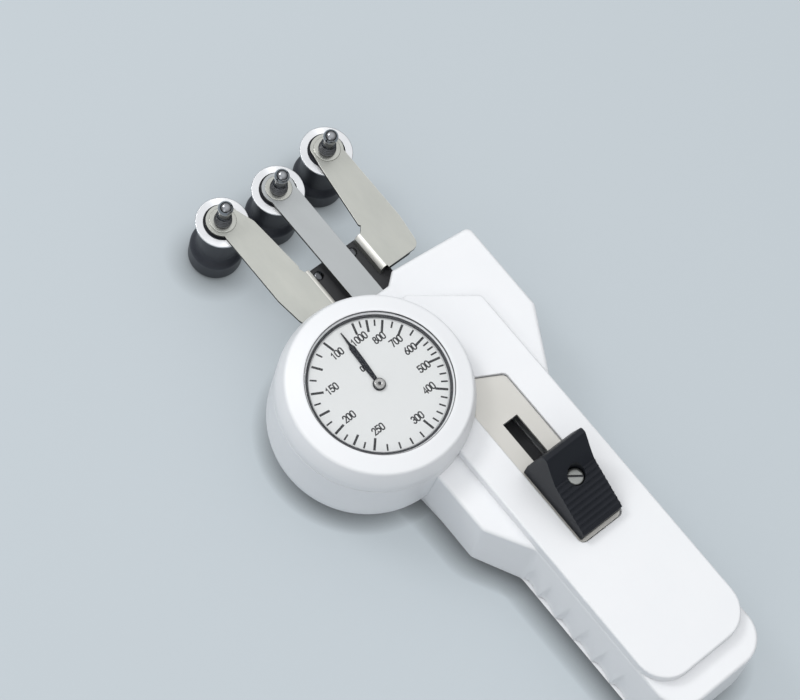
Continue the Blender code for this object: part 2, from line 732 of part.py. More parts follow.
def rear_cover():
    """The tapered tray that closes the housing from below."""
    centre = (DIAL_X, 0.0)
    low_radius = DRUM_FOOT_RADIUS - COVER_TAPER
    below, above = -CUT_OVERRUN, COVER_TOP + CUT_OVERRUN
    small = housing_outline(BASE_DRAFT - COVER_TAPER, GRIP_DRAFT - COVER_TAPER)
    large = housing_outline(BASE_DRAFT, GRIP_DRAFT)
    tray = loft("rear_cover", [(small, below), (small, 0.0), (large, COVER_TOP), (large, above)])
    bowl = [
        (0.0, below - GAP), (low_radius, below - GAP), (low_radius, 0.0), (DRUM_FOOT_RADIUS, COVER_TOP),
        (DRUM_FOOT_RADIUS, above + GAP), (0.0, above + GAP),
    ]
    join(tray, turned("bowl", bowl, DIAL_SIDES, centre))
    cut(tray, slab("ground", below - CUT_OVERRUN, 0.0), slab("roof", COVER_TOP, above + CUT_OVERRUN))
    wall = SIDE_WALL + COVER_TAPER
    hollow = prism("hollow", housing_outline(-wall, -wall), COVER_FLOOR, above)
    cut(tray, hollow, rod("round_hollow", DRUM_FOOT_RADIUS - wall, COVER_FLOOR, above, DIAL_SIDES, centre))
    for i, place in enumerate(cover_screw_places()):
        pad_top = COVER_TOP - GAP
        join(tray, rod(f"pad{i}", COVER_BOSS_RADIUS + PAD_WIDTH, COVER_FLOOR / 2, pad_top, SMALL_SIDES, place))
        cut(
            tray,
            rod(f"recess{i}", COVER_SCREW_HEAD_RADIUS + GAP, below, COVER_SCREW_RECESS, SMALL_SIDES, place),
            rod(f"hole{i}", COVER_SCREW_RADIUS + GAP, below, above, SMALL_SIDES, place),
        )
    return tray


def cover_screw(name):
    """A slotted pan-head screw whose head faces down; its origin is the head's seat."""
    profile = [
        (0.0, -COVER_SCREW_HEAD), (COVER_SCREW_HEAD_RADIUS, -COVER_SCREW_HEAD), (COVER_SCREW_HEAD_RADIUS, 0.0),
        (COVER_SCREW_RADIUS, 0.0), (COVER_SCREW_RADIUS, COVER_SCREW_LENGTH), (0.0, COVER_SCREW_LENGTH),
    ]
    screw = turned(name, profile, SMALL_SIDES)
    half = SCREW_SLOT_WIDTH / 2
    reach = COVER_SCREW_HEAD_RADIUS + CUT_OVERRUN
    low = -COVER_SCREW_HEAD - CUT_OVERRUN
    return cut(screw, block("slot", (-reach, -half, low), (reach, half, SCREW_SLOT_DEPTH - COVER_SCREW_HEAD)))


def window_plate():
    """The metal plate in the window, with the knob's slot."""
    plate = prism("window_plate", window_outline(-GAP), WINDOW_PLATE_BOTTOM, WINDOW_PLATE_TOP)
    low = WINDOW_PLATE_BOTTOM - CUT_OVERRUN
    high = WINDOW_PLATE_TOP + CUT_OVERRUN
    bezel = rod("bezel_clear", DRUM_RADIUS + GAP * 2, low, high, DIAL_SIDES, (DIAL_X, 0.0))
    return cut(plate, bezel, prism("slot", slot_outline(0.0), low, high))


# Dial

def bezel():
    """The turned ring with a soft shoulder, a crystal seat and a bore over the drum's spigot."""
    bottom = DRUM_TOP + GAP
    bore = SPIGOT_RADIUS + GAP
    crown = BEZEL_EDGE_Z - BEZEL_SHOULDER_Z
    shoulder = [
        (BEZEL_EDGE_RADIUS + (DRUM_RADIUS - BEZEL_EDGE_RADIUS) * math.cos(math.pi / 2 * i / ROUND_STEPS),
         BEZEL_SHOULDER_Z + crown * math.sin(math.pi / 2 * i / ROUND_STEPS))
        for i in range(ROUND_STEPS + 1)
    ]
    profile = [(DRUM_RADIUS, bottom)] + shoulder + [
        (BEZEL_RIM_RADIUS, BEZEL_TOP), (DIAL_OPENING_RADIUS, BEZEL_TOP), (DIAL_OPENING_RADIUS, CRYSTAL_SEAT_Z),
        (CRYSTAL_SEAT_RADIUS, CRYSTAL_SEAT_Z), (DIAL_VISIBLE_RADIUS, POINTER_Z), (bore, POINTER_Z), (bore, bottom),
    ]
    return turned("bezel", profile, DIAL_SIDES)


def ring(name, bore, radius, bottom, top, sides):
    """A flat ring."""
    return turned(name, [(bore, bottom), (radius, bottom), (radius, top), (bore, top)], sides)


def pointer():
    """A bar that widens to a shoulder and ends in a needle, pointing along +X."""
    def halves(sign):
        side = [
            (-POINTER_TAIL, POINTER_WAIST_HALF_WIDTH), (PINION_RADIUS, POINTER_WAIST_HALF_WIDTH),
            (POINTER_SHOULDER / 2, POINTER_BAR_HALF_WIDTH), (POINTER_SHOULDER, POINTER_BAR_HALF_WIDTH),
            (POINTER_SHOULDER + POINTER_BAR_HALF_WIDTH, POINTER_NEEDLE_HALF_WIDTH),
            (POINTER_TIP, POINTER_NEEDLE_HALF_WIDTH / 2),
        ]
        return [(x, sign * y) for x, y in side]

    plate = prism("pointer", halves(-1) + halves(1)[::-1], POINTER_Z, POINTER_Z + POINTER_THICKNESS)
    boss = rod("boss", HUB_RADIUS, POINTER_Z, POINTER_Z + POINTER_THICKNESS, SMALL_SIDES)
    low = POINTER_Z - CUT_OVERRUN
    hole = rod("hole", ARBOR_RADIUS + FINE_GAP, low, POINTER_Z + CUT_OVERRUN, SMALL_SIDES)
    return cut(join(plate, boss), hole)


def toothed(radius, pitch_angle, first, count):
    """Points of outside teeth on a pitch circle; each tooth has a flat tip and sloping flanks."""
    tooth = PINION_RADIUS * TOOTH_HEIGHT_share
    points = []
    for i in range(count):
        middle = first + pitch_angle * i
        for turn_share, height_share in TOOTH_OUTLINE_shares:
            angle = middle + pitch_angle * turn_share
            reach = radius + tooth * height_share
            points.append((reach * math.cos(angle), reach * math.sin(angle)))
    return points


def pinion_arbor():
    """The pinion, cut from one piece with its arbor."""
    pitch_angle = math.tau / PINION_TEETH
    teeth = toothed(PINION_RADIUS, pitch_angle, pitch_angle / 2, PINION_TEETH)
    low = GEAR_Z - (PINION_HEIGHT - GEAR_THICKNESS) / 2
    wheel = prism("pinion_arbor", teeth, low, low + PINION_HEIGHT)
    top = POINTER_Z + POINTER_THICKNESS
    return join(wheel, rod("arbor", ARBOR_RADIUS, LOWER_PLATE_Z + GAP, top, SMALL_SIDES))


def sector_gear():
    """A toothed sector with a forked lever, fixed on its arbor; its origin is the arbor's axis."""
    pitch_angle = math.tau / SECTOR_FULL_TEETH
    teeth = toothed(SECTOR_RADIUS, pitch_angle, math.pi - pitch_angle, SECTOR_TEETH)
    top = GEAR_Z + GEAR_THICKNESS
    fan = prism("sector_gear", [(SECTOR_ARBOR_RADIUS + GAP, 0.0)] + teeth, GEAR_Z, top)
    hub = rod("hub", SECTOR_HUB_RADIUS, GEAR_Z, top, SMALL_SIDES)
    arbor_top = UPPER_PLATE_Z + UPPER_PLATE_THICKNESS - GAP
    arbor = rod("arbor", SECTOR_ARBOR_RADIUS, LOWER_PLATE_Z + GAP, arbor_top, SMALL_SIDES)
    lever = block("lever", (0.0, -LEVER_HALF_WIDTH, GEAR_Z), (LEVER_LENGTH, LEVER_HALF_WIDTH, top))
    half = DRIVE_PIN_RADIUS + GAP
    fork_low = (LEVER_ARM - half - GAP, -half, GEAR_Z - CUT_OVERRUN)
    fork = block("fork", fork_low, (LEVER_LENGTH + CUT_OVERRUN, half, top + CUT_OVERRUN))
    cut(lever, fork)
    lever.rotation_euler.z = SECTOR_SWEEP / 2
    bpy.context.view_layer.update()
    return join(fan, hub, lever, arbor)


def movement_plate(name, radius, bottom, thickness, with_slot):
    """A round plate of the movement with its pivot holes."""
    plate = rod(name, radius, bottom, bottom + thickness, DIAL_SIDES // 2)
    low, high = bottom - CUT_OVERRUN, bottom + thickness + CUT_OVERRUN
    sector_at = (SECTOR_X - DIAL_X, 0.0)
    cut(
        plate,
        rod("pinion_hole", ARBOR_RADIUS + RUNNING_GAP, low, high, SMALL_SIDES),
        rod("sector_hole", SECTOR_ARBOR_RADIUS + RUNNING_GAP, low, high, SMALL_SIDES, sector_at),
    )
    if with_slot:
        middle = DRIVE_PIN_X - DIAL_X
        half = DRIVE_PIN_RADIUS + GAP
        reach = DRIVE_PIN_Y + half
        cut(plate, block("pin_slot", (middle - half, -reach, low), (middle + half, reach, high)))
    return plate


# Rollers and axles

def roller(name):
    """A black waisted roller, bored for its bearing; its origin is on its axis."""
    bore = BEARING_RADIUS + GAP
    throat = AXLE_RADIUS + GAP * 2
    edge = [
        (ROLLER_FLANGE_RADIUS - ROLLER_EDGE_RADIUS * (1 - math.sin(math.pi / 2 * i / CORNER_STEPS)),
         ROLLER_BOTTOM + ROLLER_EDGE_RADIUS * (1 - math.cos(math.pi / 2 * i / CORNER_STEPS)))
        for i in range(CORNER_STEPS + 1)
    ]
    reach = ROLLER_FLANGE_RADIUS - ROLLER_WAIST_RADIUS
    flare = [
        (ROLLER_WAIST_RADIUS + reach * (1 + math.cos(math.pi * i / ROUND_STEPS)) / 2,
         ROLLER_FLANGE_TOP + (ROLLER_FLARE_TOP - ROLLER_FLANGE_TOP) * i / ROUND_STEPS)
        for i in range(ROUND_STEPS + 1)
    ]
    inside = ROLLER_TOP - ROLLER_TOP_WEB
    profile = edge + flare + [
        (ROLLER_WAIST_RADIUS, ROLLER_TOP), (throat, ROLLER_TOP), (throat, inside), (bore, inside),
        (bore, ROLLER_BOTTOM),
    ]
    return turned(name, profile, ROLLER_SIDES)


def axle_stud(name):
    """Axle, ringed foot, tapering neck and ball in one turned piece."""
    groove = AXLE_RADIUS - CLIP_GROOVE_DEPTH
    groove_top = CLIP_Z + CLIP_THICKNESS + GAP
    seat = ARM_TOP + GAP
    foot = STUD_FOOT_RADIUS
    step = STUD_RING
    centre = ARM_TOP + BALL_HEIGHT
    start = math.asin(STUD_NECK_RADIUS / BALL_RADIUS)
    ball = [
        (BALL_RADIUS * math.sin(start + (math.pi - start) * i / BALL_STEPS),
         centre - BALL_RADIUS * math.cos(start + (math.pi - start) * i / BALL_STEPS))
        for i in range(BALL_STEPS)
    ]
    profile = [
        (0.0, AXLE_BOTTOM), (AXLE_RADIUS, AXLE_BOTTOM), (AXLE_RADIUS, CLIP_Z - GAP), (groove, CLIP_Z - GAP),
        (groove, groove_top), (AXLE_RADIUS, groove_top), (AXLE_RADIUS, seat), (foot, seat), (foot, seat + step),
        (foot - step, seat + step), (foot - step, seat + step * 2), (foot - step / 2, seat + step * 2),
        (foot - step / 2, seat + step * 3),
    ]
    return turned(name, profile + ball + [(0.0, centre + BALL_RADIUS)], MEDIUM_SIDES)


def axle_clip(name):
    """A snap ring in the axle's groove, open on one side."""
    bore = AXLE_RADIUS - CLIP_GROOVE_DEPTH + FINE_GAP
    clip = ring(name, bore, CLIP_RADIUS, CLIP_Z, CLIP_Z + CLIP_THICKNESS, SMALL_SIDES)
    half = AXLE_RADIUS / 2
    low = (0.0, -half, CLIP_Z - CUT_OVERRUN)
    return cut(clip, block("mouth", low, (CLIP_RADIUS * 2, half, CLIP_Z + CUT_OVERRUN)))


def add_roller(parts, side, x, y, body_axis):
    """Adds one roller with its ring, bearing, stud and clip."""
    at = (x, y, 0.0)
    spin = parts.axis(f"{side}_roller_axis", at, body_axis)
    parts.add(roller(f"{side}_roller"), BLACK, spin, at)
    washer = ring(f"{side}_roller_ring", ROLLER_RING_HOLE, ROLLER_RING_RADIUS, RING_BOTTOM, RING_TOP, ROLLER_SIDES)
    parts.add(washer, ALUMINIUM, spin, at)
    low = CLIP_Z + CLIP_THICKNESS + GAP
    high = ROLLER_TOP - ROLLER_TOP_WEB - GAP
    bearing = ring(f"{side}_bearing", AXLE_RADIUS + RUNNING_GAP, BEARING_RADIUS, low, high, MEDIUM_SIDES)
    parts.add(bearing, BRASS, spin, at)
    parts.add(axle_stud(f"{side}_axle_stud"), CHROME, body_axis, at)
    parts.add(axle_clip(f"{side}_axle_clip"), STEEL, body_axis, at)


# Carriage

def carriage_arm(name, side, outer, inner_front, inner_rear):
    """A flat arm whose inner edge is folded down to a foot; distances run from the head's middle."""
    outer_angle = -math.acos((outer - ROLLER_SPREAD) / ARM_END_RADIUS)
    corners = [
        (FOLD_X + FOLD_RADIUS, ARM_REAR, 0.0), (outer - ARM_REAR_INSET, ARM_REAR, ARM_CORNER_RADIUS),
        (outer, ARM_REAR + ARM_CORNER_RADIUS * 4, 0.0),
    ]
    points = rounded(corners)
    points += arc((ROLLER_SPREAD, OUTER_ROLLER_Y), ARM_END_RADIUS, outer_angle, math.radians(150.0), ROUND_STEPS * 3)
    points += [(inner_front, ARM_INNER_FRONT_Y), (inner_rear, FOLD_FRONT + FOLD_RADIUS), (FOLD_X + FOLD_RADIUS, FOLD_FRONT)]
    arm = prism(name, [(HEAD_X + side * x, y) for x, y in points], ARM_BOTTOM, ARM_TOP)
    bend = (FOLD_X + FOLD_RADIUS, ARM_TOP - FOLD_RADIUS)
    foot_top = BAR_BOTTOM + ARM_THICKNESS
    end = FOLD_X + FOLD_RADIUS * 2
    profile = [(end, ARM_TOP)] + arc(bend, FOLD_RADIUS, math.pi / 2, math.pi, CORNER_STEPS)
    profile += [(FOLD_X, foot_top), (FOLD_X - FOLD_FOOT, foot_top), (FOLD_X - FOLD_FOOT, BAR_BOTTOM)]
    profile += [(FOLD_X + ARM_THICKNESS, BAR_BOTTOM)]
    profile += arc(bend, FOLD_RADIUS - ARM_THICKNESS, math.pi, math.pi / 2, CORNER_STEPS) + [(end, ARM_BOTTOM)]
    fold = extruded_along("fold", "Y", [(HEAD_X + side * x, z) for x, z in profile], FOLD_REAR, FOLD_FRONT)
    join(arm, fold)
    low, high = BAR_BOTTOM - CUT_OVERRUN, ARM_TOP + CUT_OVERRUN
    axle = (HEAD_X + side * ROLLER_SPREAD, OUTER_ROLLER_Y)
    cut(arm, rod("axle_hole", AXLE_RADIUS + GAP, low, high, MEDIUM_SIDES, axle))
    return cut(arm, rod("rivet_hole", FASTENER_RADIUS + GAP, low, foot_top + GAP, SMALL_SIDES, rivet_place(side)))


def rivet_place(side):
    """The middle of a fold's foot, near its front end."""
    return (HEAD_X + side * (FOLD_X - FOLD_FOOT / 2), FOLD_FRONT - FOLD_FOOT / 2)


def carriage_web():
    """The lower plate that joins both folds to the slider bar."""
    left = HEAD_X - WEB_HALF_WIDTH
    right = HEAD_X + WEB_HALF_WIDTH
    bar_right = BAR_HALF_WIDTH + GAP
    outline = [
        (left, WEB_REAR), (bar_right, WEB_REAR), (bar_right, BAR_FRONT), (right, ARM_REAR), (right, WEB_FRONT),
        (left, WEB_FRONT),
    ]
    web = prism("carriage_web", outline, WEB_TOP - WEB_THICKNESS, WEB_TOP)
    low, high = WEB_TOP - WEB_THICKNESS - CUT_OVERRUN, WEB_TOP + CUT_OVERRUN
    holes = [rivet_place(-1), rivet_place(1), (0.0, bolt_y())]
    cut(web, *[rod(f"hole{i}", FASTENER_RADIUS + GAP, low, high, SMALL_SIDES, at) for i, at in enumerate(holes)])
    return web


def bolt_y():
    """Where the bar is bolted to the web."""
    return (BAR_FRONT + WEB_REAR) / 2


def fastener(name, seat_low, seat_high):
    """A headed rivet or bolt through two sheets, with a smaller head set on its lower end."""
    top = seat_high + GAP
    low = seat_low - GAP
    small = FASTENER_HEAD_RADIUS - GAP
    profile = [
        (0.0, low - FASTENER_HEAD), (small, low - FASTENER_HEAD), (small, low), (FASTENER_RADIUS, low),
        (FASTENER_RADIUS, top), (FASTENER_HEAD_RADIUS, top), (FASTENER_HEAD_RADIUS, top + FASTENER_HEAD / 2),
        (FASTENER_RADIUS, top + FASTENER_HEAD), (0.0, top + FASTENER_HEAD),
    ]
    return turned(name, profile, SMALL_SIDES)


def slider_bar():
    """The flat bar from the web to the knob, with the hook that presses the return spring."""
    bar = block("slider_bar", (-BAR_HALF_WIDTH, BAR_REAR, BAR_BOTTOM), (BAR_HALF_WIDTH, BAR_FRONT, BAR_TOP))
    hook_bottom = RETURN_SPRING_Z - RETURN_SPRING_RADIUS
    hook = block(
        "hook",
        (-SPRING_BLOCK_HALF_WIDTH, SPRING_HOOK_FRONT - SPRING_BLOCK_THICKNESS, hook_bottom),
        (SPRING_BLOCK_HALF_WIDTH, SPRING_HOOK_FRONT, BAR_BOTTOM + JOIN_OVERLAP),
    )
    join(bar, hook)
    low, high = BAR_BOTTOM - CUT_OVERRUN / 2, BAR_TOP + CUT_OVERRUN
    cut(bar, rod("bolt_hole", FASTENER_RADIUS + GAP, low, high, SMALL_SIDES, (0.0, bolt_y())))
    return cut(bar, rod("screw_hole", SCREW_SHANK_RADIUS + GAP, low, high, SMALL_SIDES, (0.0, SCREW_Y - SCREW_SHANK_RADIUS / 2)))


def knob_profile():
    """Side view of the knob: upright front, lip, steep upper face, then the ribbed thumb face."""
    rear = KNOB_FRONT - KNOB_LENGTH
    points = [(rear, KNOB_BOTTOM), (KNOB_FRONT, KNOB_BOTTOM)]
    for along_share, height_share in KNOB_OUTLINE_shares:
        points.append((KNOB_FRONT - KNOB_LENGTH * along_share, KNOB_BOTTOM + KNOB_HEIGHT * height_share))
    bend_y, bend_z = points[-1]
    tail_z = KNOB_BOTTOM + KNOB_TAIL_HEIGHT
    steps = KNOB_RIB_COUNT * 2
    for i in range(1, steps + 1):
        share = i / steps
        rib = KNOB_RIB_HEIGHT if i % 2 else 0.0
        points.append((bend_y + (rear - bend_y) * share, bend_z + (tail_z - bend_z) * share + rib))
    return points


def thumb_slider():
    """The black knob with its stem through the slot, counterbored for its screw."""
    knob = extruded_along("thumb_slider", "X", knob_profile(), -KNOB_HALF_WIDTH, KNOB_HALF_WIDTH)
    soften = knob.modifiers.new("Soft edges", "BEVEL")
    soften.width = KNOB_EDGE_RADIUS
    soften.segments = 2
    soften.limit_method = "ANGLE"
    soften.angle_limit = math.radians(60.0)
    stem = block(
        "stem", (-STEM_HALF_WIDTH, STEM_REAR, BAR_TOP + GAP),
        (STEM_HALF_WIDTH, KNOB_FRONT - GAP, KNOB_BOTTOM + CUT_OVERRUN),
    )
    join(knob, stem)
    seat = SCREW_HEAD_TOP - SCREW_HEAD - GAP
    top = KNOB_BOTTOM + KNOB_HEIGHT + CUT_OVERRUN
    at = (0.0, SCREW_Y)
    cut(
        knob,
        rod("counterbore", SCREW_HEAD_RADIUS + GAP, seat, top, MEDIUM_SIDES, at),
        rod("shank_hole", SCREW_SHANK_RADIUS + GAP, BAR_TOP, top, SMALL_SIDES, at),
    )
    return knob


def slider_screw():
    """The slotted screw that holds the knob; its origin is at its axis on z = 0."""
    bottom = BAR_TOP + GAP
    profile = [
        (0.0, bottom), (SCREW_SHANK_RADIUS, bottom), (SCREW_SHANK_RADIUS, SCREW_HEAD_TOP - SCREW_HEAD),
        (SCREW_HEAD_RADIUS, SCREW_HEAD_TOP - SCREW_HEAD), (SCREW_HEAD_RADIUS, SCREW_HEAD_TOP - SCREW_HEAD / 4),
        (SCREW_HEAD_RADIUS - SCREW_HEAD / 4, SCREW_HEAD_TOP), (0.0, SCREW_HEAD_TOP),
    ]
    screw = turned("slider_screw", profile, MEDIUM_SIDES)
    reach = SCREW_HEAD_RADIUS + CUT_OVERRUN
    half = SCREW_SLOT_WIDTH / 2
    slot = block("slot", (-reach, -half, SCREW_HEAD_TOP - SCREW_SLOT_DEPTH), (reach, half, SCREW_HEAD_TOP + CUT_OVERRUN))
    slot.rotation_euler.z = SCREW_SLOT_ANGLE
    bpy.context.view_layer.update()
    return cut(screw, slot)


# Measuring arm

def measuring_arm():
    """The flat arm of the middle roller, with two guide slots and the tab of its spring."""
    left_front = HEAD_X - MEASURING_ARM_LEFT_FRONT
    left_rear = HEAD_X - MEASURING_ARM_LEFT_REAR
    right = HEAD_X + MEASURING_ARM_RIGHT
    start = -math.acos(MEASURING_ARM_RIGHT / ARM_END_RADIUS)
    end = math.pi + math.acos(MEASURING_ARM_LEFT_FRONT / ARM_END_RADIUS)
    outline = [(left_rear, MEASURING_ARM_REAR), (right, MEASURING_ARM_REAR)]
    outline += arc((HEAD_X, CENTER_ROLLER_Y), ARM_END_RADIUS, start, end, ROUND_STEPS * 3)
    outline += [(left_rear, ARM_REAR)]
    arm = prism("measuring_arm", outline, ARM_BOTTOM, ARM_TOP)
    tab_bottom = MEASURING_SPRING_Z - MEASURING_SPRING_RADIUS * 2
    tab = block(
        "tab",
        (MEASURING_SPRING_X - MEASURING_TAB_HALF_WIDTH, MEASURING_TAB_FRONT - MEASURING_TAB_THICKNESS, tab_bottom),
        (MEASURING_SPRING_X + MEASURING_TAB_HALF_WIDTH, MEASURING_TAB_FRONT, ARM_BOTTOM + JOIN_OVERLAP),
    )
    join(arm, tab)
    low, high = ARM_BOTTOM - CUT_OVERRUN, ARM_TOP + CUT_OVERRUN
    half = POST_PIN_RADIUS + GAP
    for i, y in enumerate((FRONT_POST_Y, REAR_POST_Y)):
        slot = arc((POST_X, y), half, math.pi, math.tau, ROUND_STEPS)
        slot += arc((POST_X, y + MEASURING_TRAVEL), half, 0.0, math.pi, ROUND_STEPS)
        cut(arm, prism(f"guide_slot{i}", slot, low, high))
    return cut(
        arm,
        rod("axle_hole", AXLE_RADIUS + GAP, low, high, MEDIUM_SIDES, (HEAD_X, CENTER_ROLLER_Y)),
        rod("pin_hole", DRIVE_PIN_RADIUS + GAP, low, high, SMALL_SIDES, (DRIVE_PIN_X, DRIVE_PIN_Y)),
    )


def drive_pin():
    """The pin that turns the sector's fork; it stands in the arm on a small flange."""
    seat = ARM_TOP + GAP
    profile = [
        (0.0, ARM_BOTTOM), (DRIVE_PIN_RADIUS, ARM_BOTTOM), (DRIVE_PIN_RADIUS, seat),
        (DRIVE_PIN_FLANGE_RADIUS, seat), (DRIVE_PIN_FLANGE_RADIUS, seat + DRIVE_PIN_FLANGE),
        (DRIVE_PIN_RADIUS, seat + DRIVE_PIN_FLANGE), (DRIVE_PIN_RADIUS, GEAR_Z + GEAR_THICKNESS + GAP),
        (0.0, GEAR_Z + GEAR_THICKNESS + GAP),
    ]
    return turned("drive_pin", profile, SMALL_SIDES)


# Chassis

def chassis_plate():
    """The inner plate that carries rails, posts and spring blocks."""
    half = CHASSIS_HALF_WIDTH
    plate = block("chassis_plate", (-half, CHASSIS_REAR, CHASSIS_BOTTOM), (half, CHASSIS_FRONT, CHASSIS_TOP))
    low, high = CHASSIS_BOTTOM - CUT_OVERRUN, CHASSIS_TOP + CUT_OVERRUN
    holes = [rod(f"hole{i}", FASTENER_RADIUS + GAP, low, high, SMALL_SIDES, at) for i, at in enumerate(chassis_screw_places())]
    return cut(plate, *holes)


def chassis_screw(name):
    """A screw from below; its origin is its head's seat."""
    length = CHASSIS_THICKNESS + (CEILING - CHASSIS_TOP) / 2
    profile = [
        (0.0, -FASTENER_HEAD * 2), (FASTENER_HEAD_RADIUS, -FASTENER_HEAD * 2), (FASTENER_HEAD_RADIUS, 0.0),
        (FASTENER_RADIUS, 0.0), (FASTENER_RADIUS, length), (0.0, length),
    ]
    return turned(name, profile, SMALL_SIDES)


def slider_rail(name, side):
    """A channel that holds one edge of the slider bar."""
    inner = BAR_HALF_WIDTH + GAP
    outer = inner + RAIL_WALL
    lip = inner - RAIL_LIP
    bottom = CHASSIS_TOP + SEAT_GAP
    low_lip = BAR_BOTTOM - GAP
    high_lip = BAR_TOP + GAP
    profile = [
        (outer, bottom), (outer, high_lip + RAIL_LIP_THICKNESS), (lip, high_lip + RAIL_LIP_THICKNESS),
        (lip, high_lip), (inner, high_lip), (inner, low_lip), (lip, low_lip),
        (lip, low_lip - RAIL_LIP_THICKNESS), (inner, low_lip - RAIL_LIP_THICKNESS), (inner, bottom),
    ]
    return extruded_along(name, "Y", [(side * x, z) for x, z in profile], RAIL_REAR, RAIL_FRONT)


def guide_post(name):
    """A shouldered post; its pin runs in a slot of the measuring arm."""
    bottom = CHASSIS_TOP + SEAT_GAP
    shoulder = ARM_BOTTOM - GAP
    profile = [
        (0.0, bottom), (POST_RADIUS, bottom), (POST_RADIUS, shoulder), (POST_PIN_RADIUS, shoulder),
        (POST_PIN_RADIUS, ARM_TOP), (0.0, ARM_TOP),
    ]
    return turned(name, profile, SMALL_SIDES)


def spring_block(name, x, half, front, top):
    """An upright block on the chassis that a spring pushes against."""
    bottom = CHASSIS_TOP + SEAT_GAP
    return block(name, (x - half, front - SPRING_BLOCK_THICKNESS, bottom), (x + half, front, top))


# Whole gauge

def build_housing(parts):
    """Adds the fixed outer pieces and the chassis."""
    parts.add(main_housing(), WHITE)
    parts.add(rear_cover(), WHITE)
    seat = COVER_SCREW_RECESS - GAP
    for i, (x, y) in enumerate(cover_screw_places()):
        parts.add(cover_screw(f"cover_screw_{i + 1}"), STEEL, None, (x, y, seat))
    parts.add(window_plate(), WINDOW)
    parts.add(chassis_plate(), STEEL)
    for i, (x, y) in enumerate(chassis_screw_places()):
        parts.add(chassis_screw(f"chassis_screw_{i + 1}"), STEEL, None, (x, y, CHASSIS_BOTTOM - GAP))
    parts.add(slider_rail("left_slider_rail", -1), STEEL)
    parts.add(slider_rail("right_slider_rail", 1), STEEL)
    parts.add(guide_post("front_guide_post"), STEEL, None, (POST_X, FRONT_POST_Y, 0.0))
    parts.add(guide_post("rear_guide_post"), STEEL, None, (POST_X, REAR_POST_Y, 0.0))
    block_front = RETURN_SPRING_FRONT + GAP + SPRING_BLOCK_THICKNESS
    parts.add(spring_block("return_spring_block", 0.0, SPRING_BLOCK_HALF_WIDTH, block_front, BAR_BOTTOM - GAP), STEEL)
    parts.add(
        spring_block(
            "measuring_spring_block", MEASURING_SPRING_X, MEASURING_TAB_HALF_WIDTH, MEASURING_SPRING_REAR - GAP,
            MEASURING_SPRING_Z + MEASURING_SPRING_RADIUS * 2,
        ),
        STEEL,
    )


def build_movement(parts):
    """Adds the fixed plates, the sector and the pinion with its pointer."""
    dial = (DIAL_X, 0.0, 0.0)
    lower = movement_plate("lower_movement_plate", LOWER_PLATE_RADIUS, LOWER_PLATE_Z, LOWER_PLATE_THICKNESS, True)
    upper = movement_plate("upper_movement_plate", UPPER_PLATE_RADIUS, UPPER_PLATE_Z, UPPER_PLATE_THICKNESS, False)
    parts.add(lower, BRASS, None, dial)
    parts.add(upper, BRASS, None, dial)
    for i, angle in enumerate(PILLAR_ANGLES):
        pillar = rod(f"movement_pillar_{i + 1}", PILLAR_RADIUS, PILLAR_Z, PILLAR_Z + PILLAR_HEIGHT)
        place = (DIAL_X + PILLAR_CIRCLE * math.cos(angle), PILLAR_CIRCLE * math.sin(angle), 0.0)
        parts.add(pillar, BRASS, None, place)
    sector_at = (SECTOR_X, 0.0, 0.0)
    parts.add(sector_gear(), BRASS, parts.axis("sector_axis", sector_at), sector_at)
    needle_axis = parts.axis("pointer_axis", dial)
    parts.add(pinion_arbor(), STEEL, needle_axis, dial)
    needle = pointer()
    needle.rotation_euler.z = POINTER_REST
    parts.add(needle, BLACK, needle_axis, dial)
    hub_bottom = POINTER_Z + POINTER_THICKNESS + GAP
    parts.add(rod("pointer_hub", HUB_RADIUS, hub_bottom, hub_bottom + HUB_THICKNESS, MEDIUM_SIDES), ALUMINIUM, needle_axis, dial)


def build_bezel(parts):
    """Adds the bezel with what turns with it."""
    dial = (DIAL_X, 0.0, 0.0)
    turning = parts.axis("bezel_axis", dial)
    parts.add(bezel(), WHITE, turning, dial)
    crystal_bottom = CRYSTAL_SEAT_Z + GAP
    crystal = rod("crystal", DIAL_OPENING_RADIUS - GAP, crystal_bottom, crystal_bottom + CRYSTAL_THICKNESS, DIAL_SIDES)
    parts.add(crystal, GLASS, turning, dial)
    plate_bottom = DIAL_PLATE_TOP - DIAL_PLATE_THICKNESS
    plate = rod("dial_plate", SPIGOT_RADIUS, plate_bottom, DIAL_PLATE_TOP, DIAL_SIDES)
    low, high = plate_bottom - CUT_OVERRUN, DIAL_PLATE_TOP + CUT_OVERRUN
    cut(plate, rod("arbor_hole", ARBOR_RADIUS + GAP, low, high, SMALL_SIDES))
    parts.add(plate, DIAL, turning, dial)
    ring_top = plate_bottom - GAP
    retainer = ring("dial_retaining_ring", RETAINING_RING_BORE, SPIGOT_RADIUS, ring_top - RETAINING_RING_THICKNESS, ring_top, ROLLER_SIDES)
    parts.add(retainer, STEEL, turning, dial)


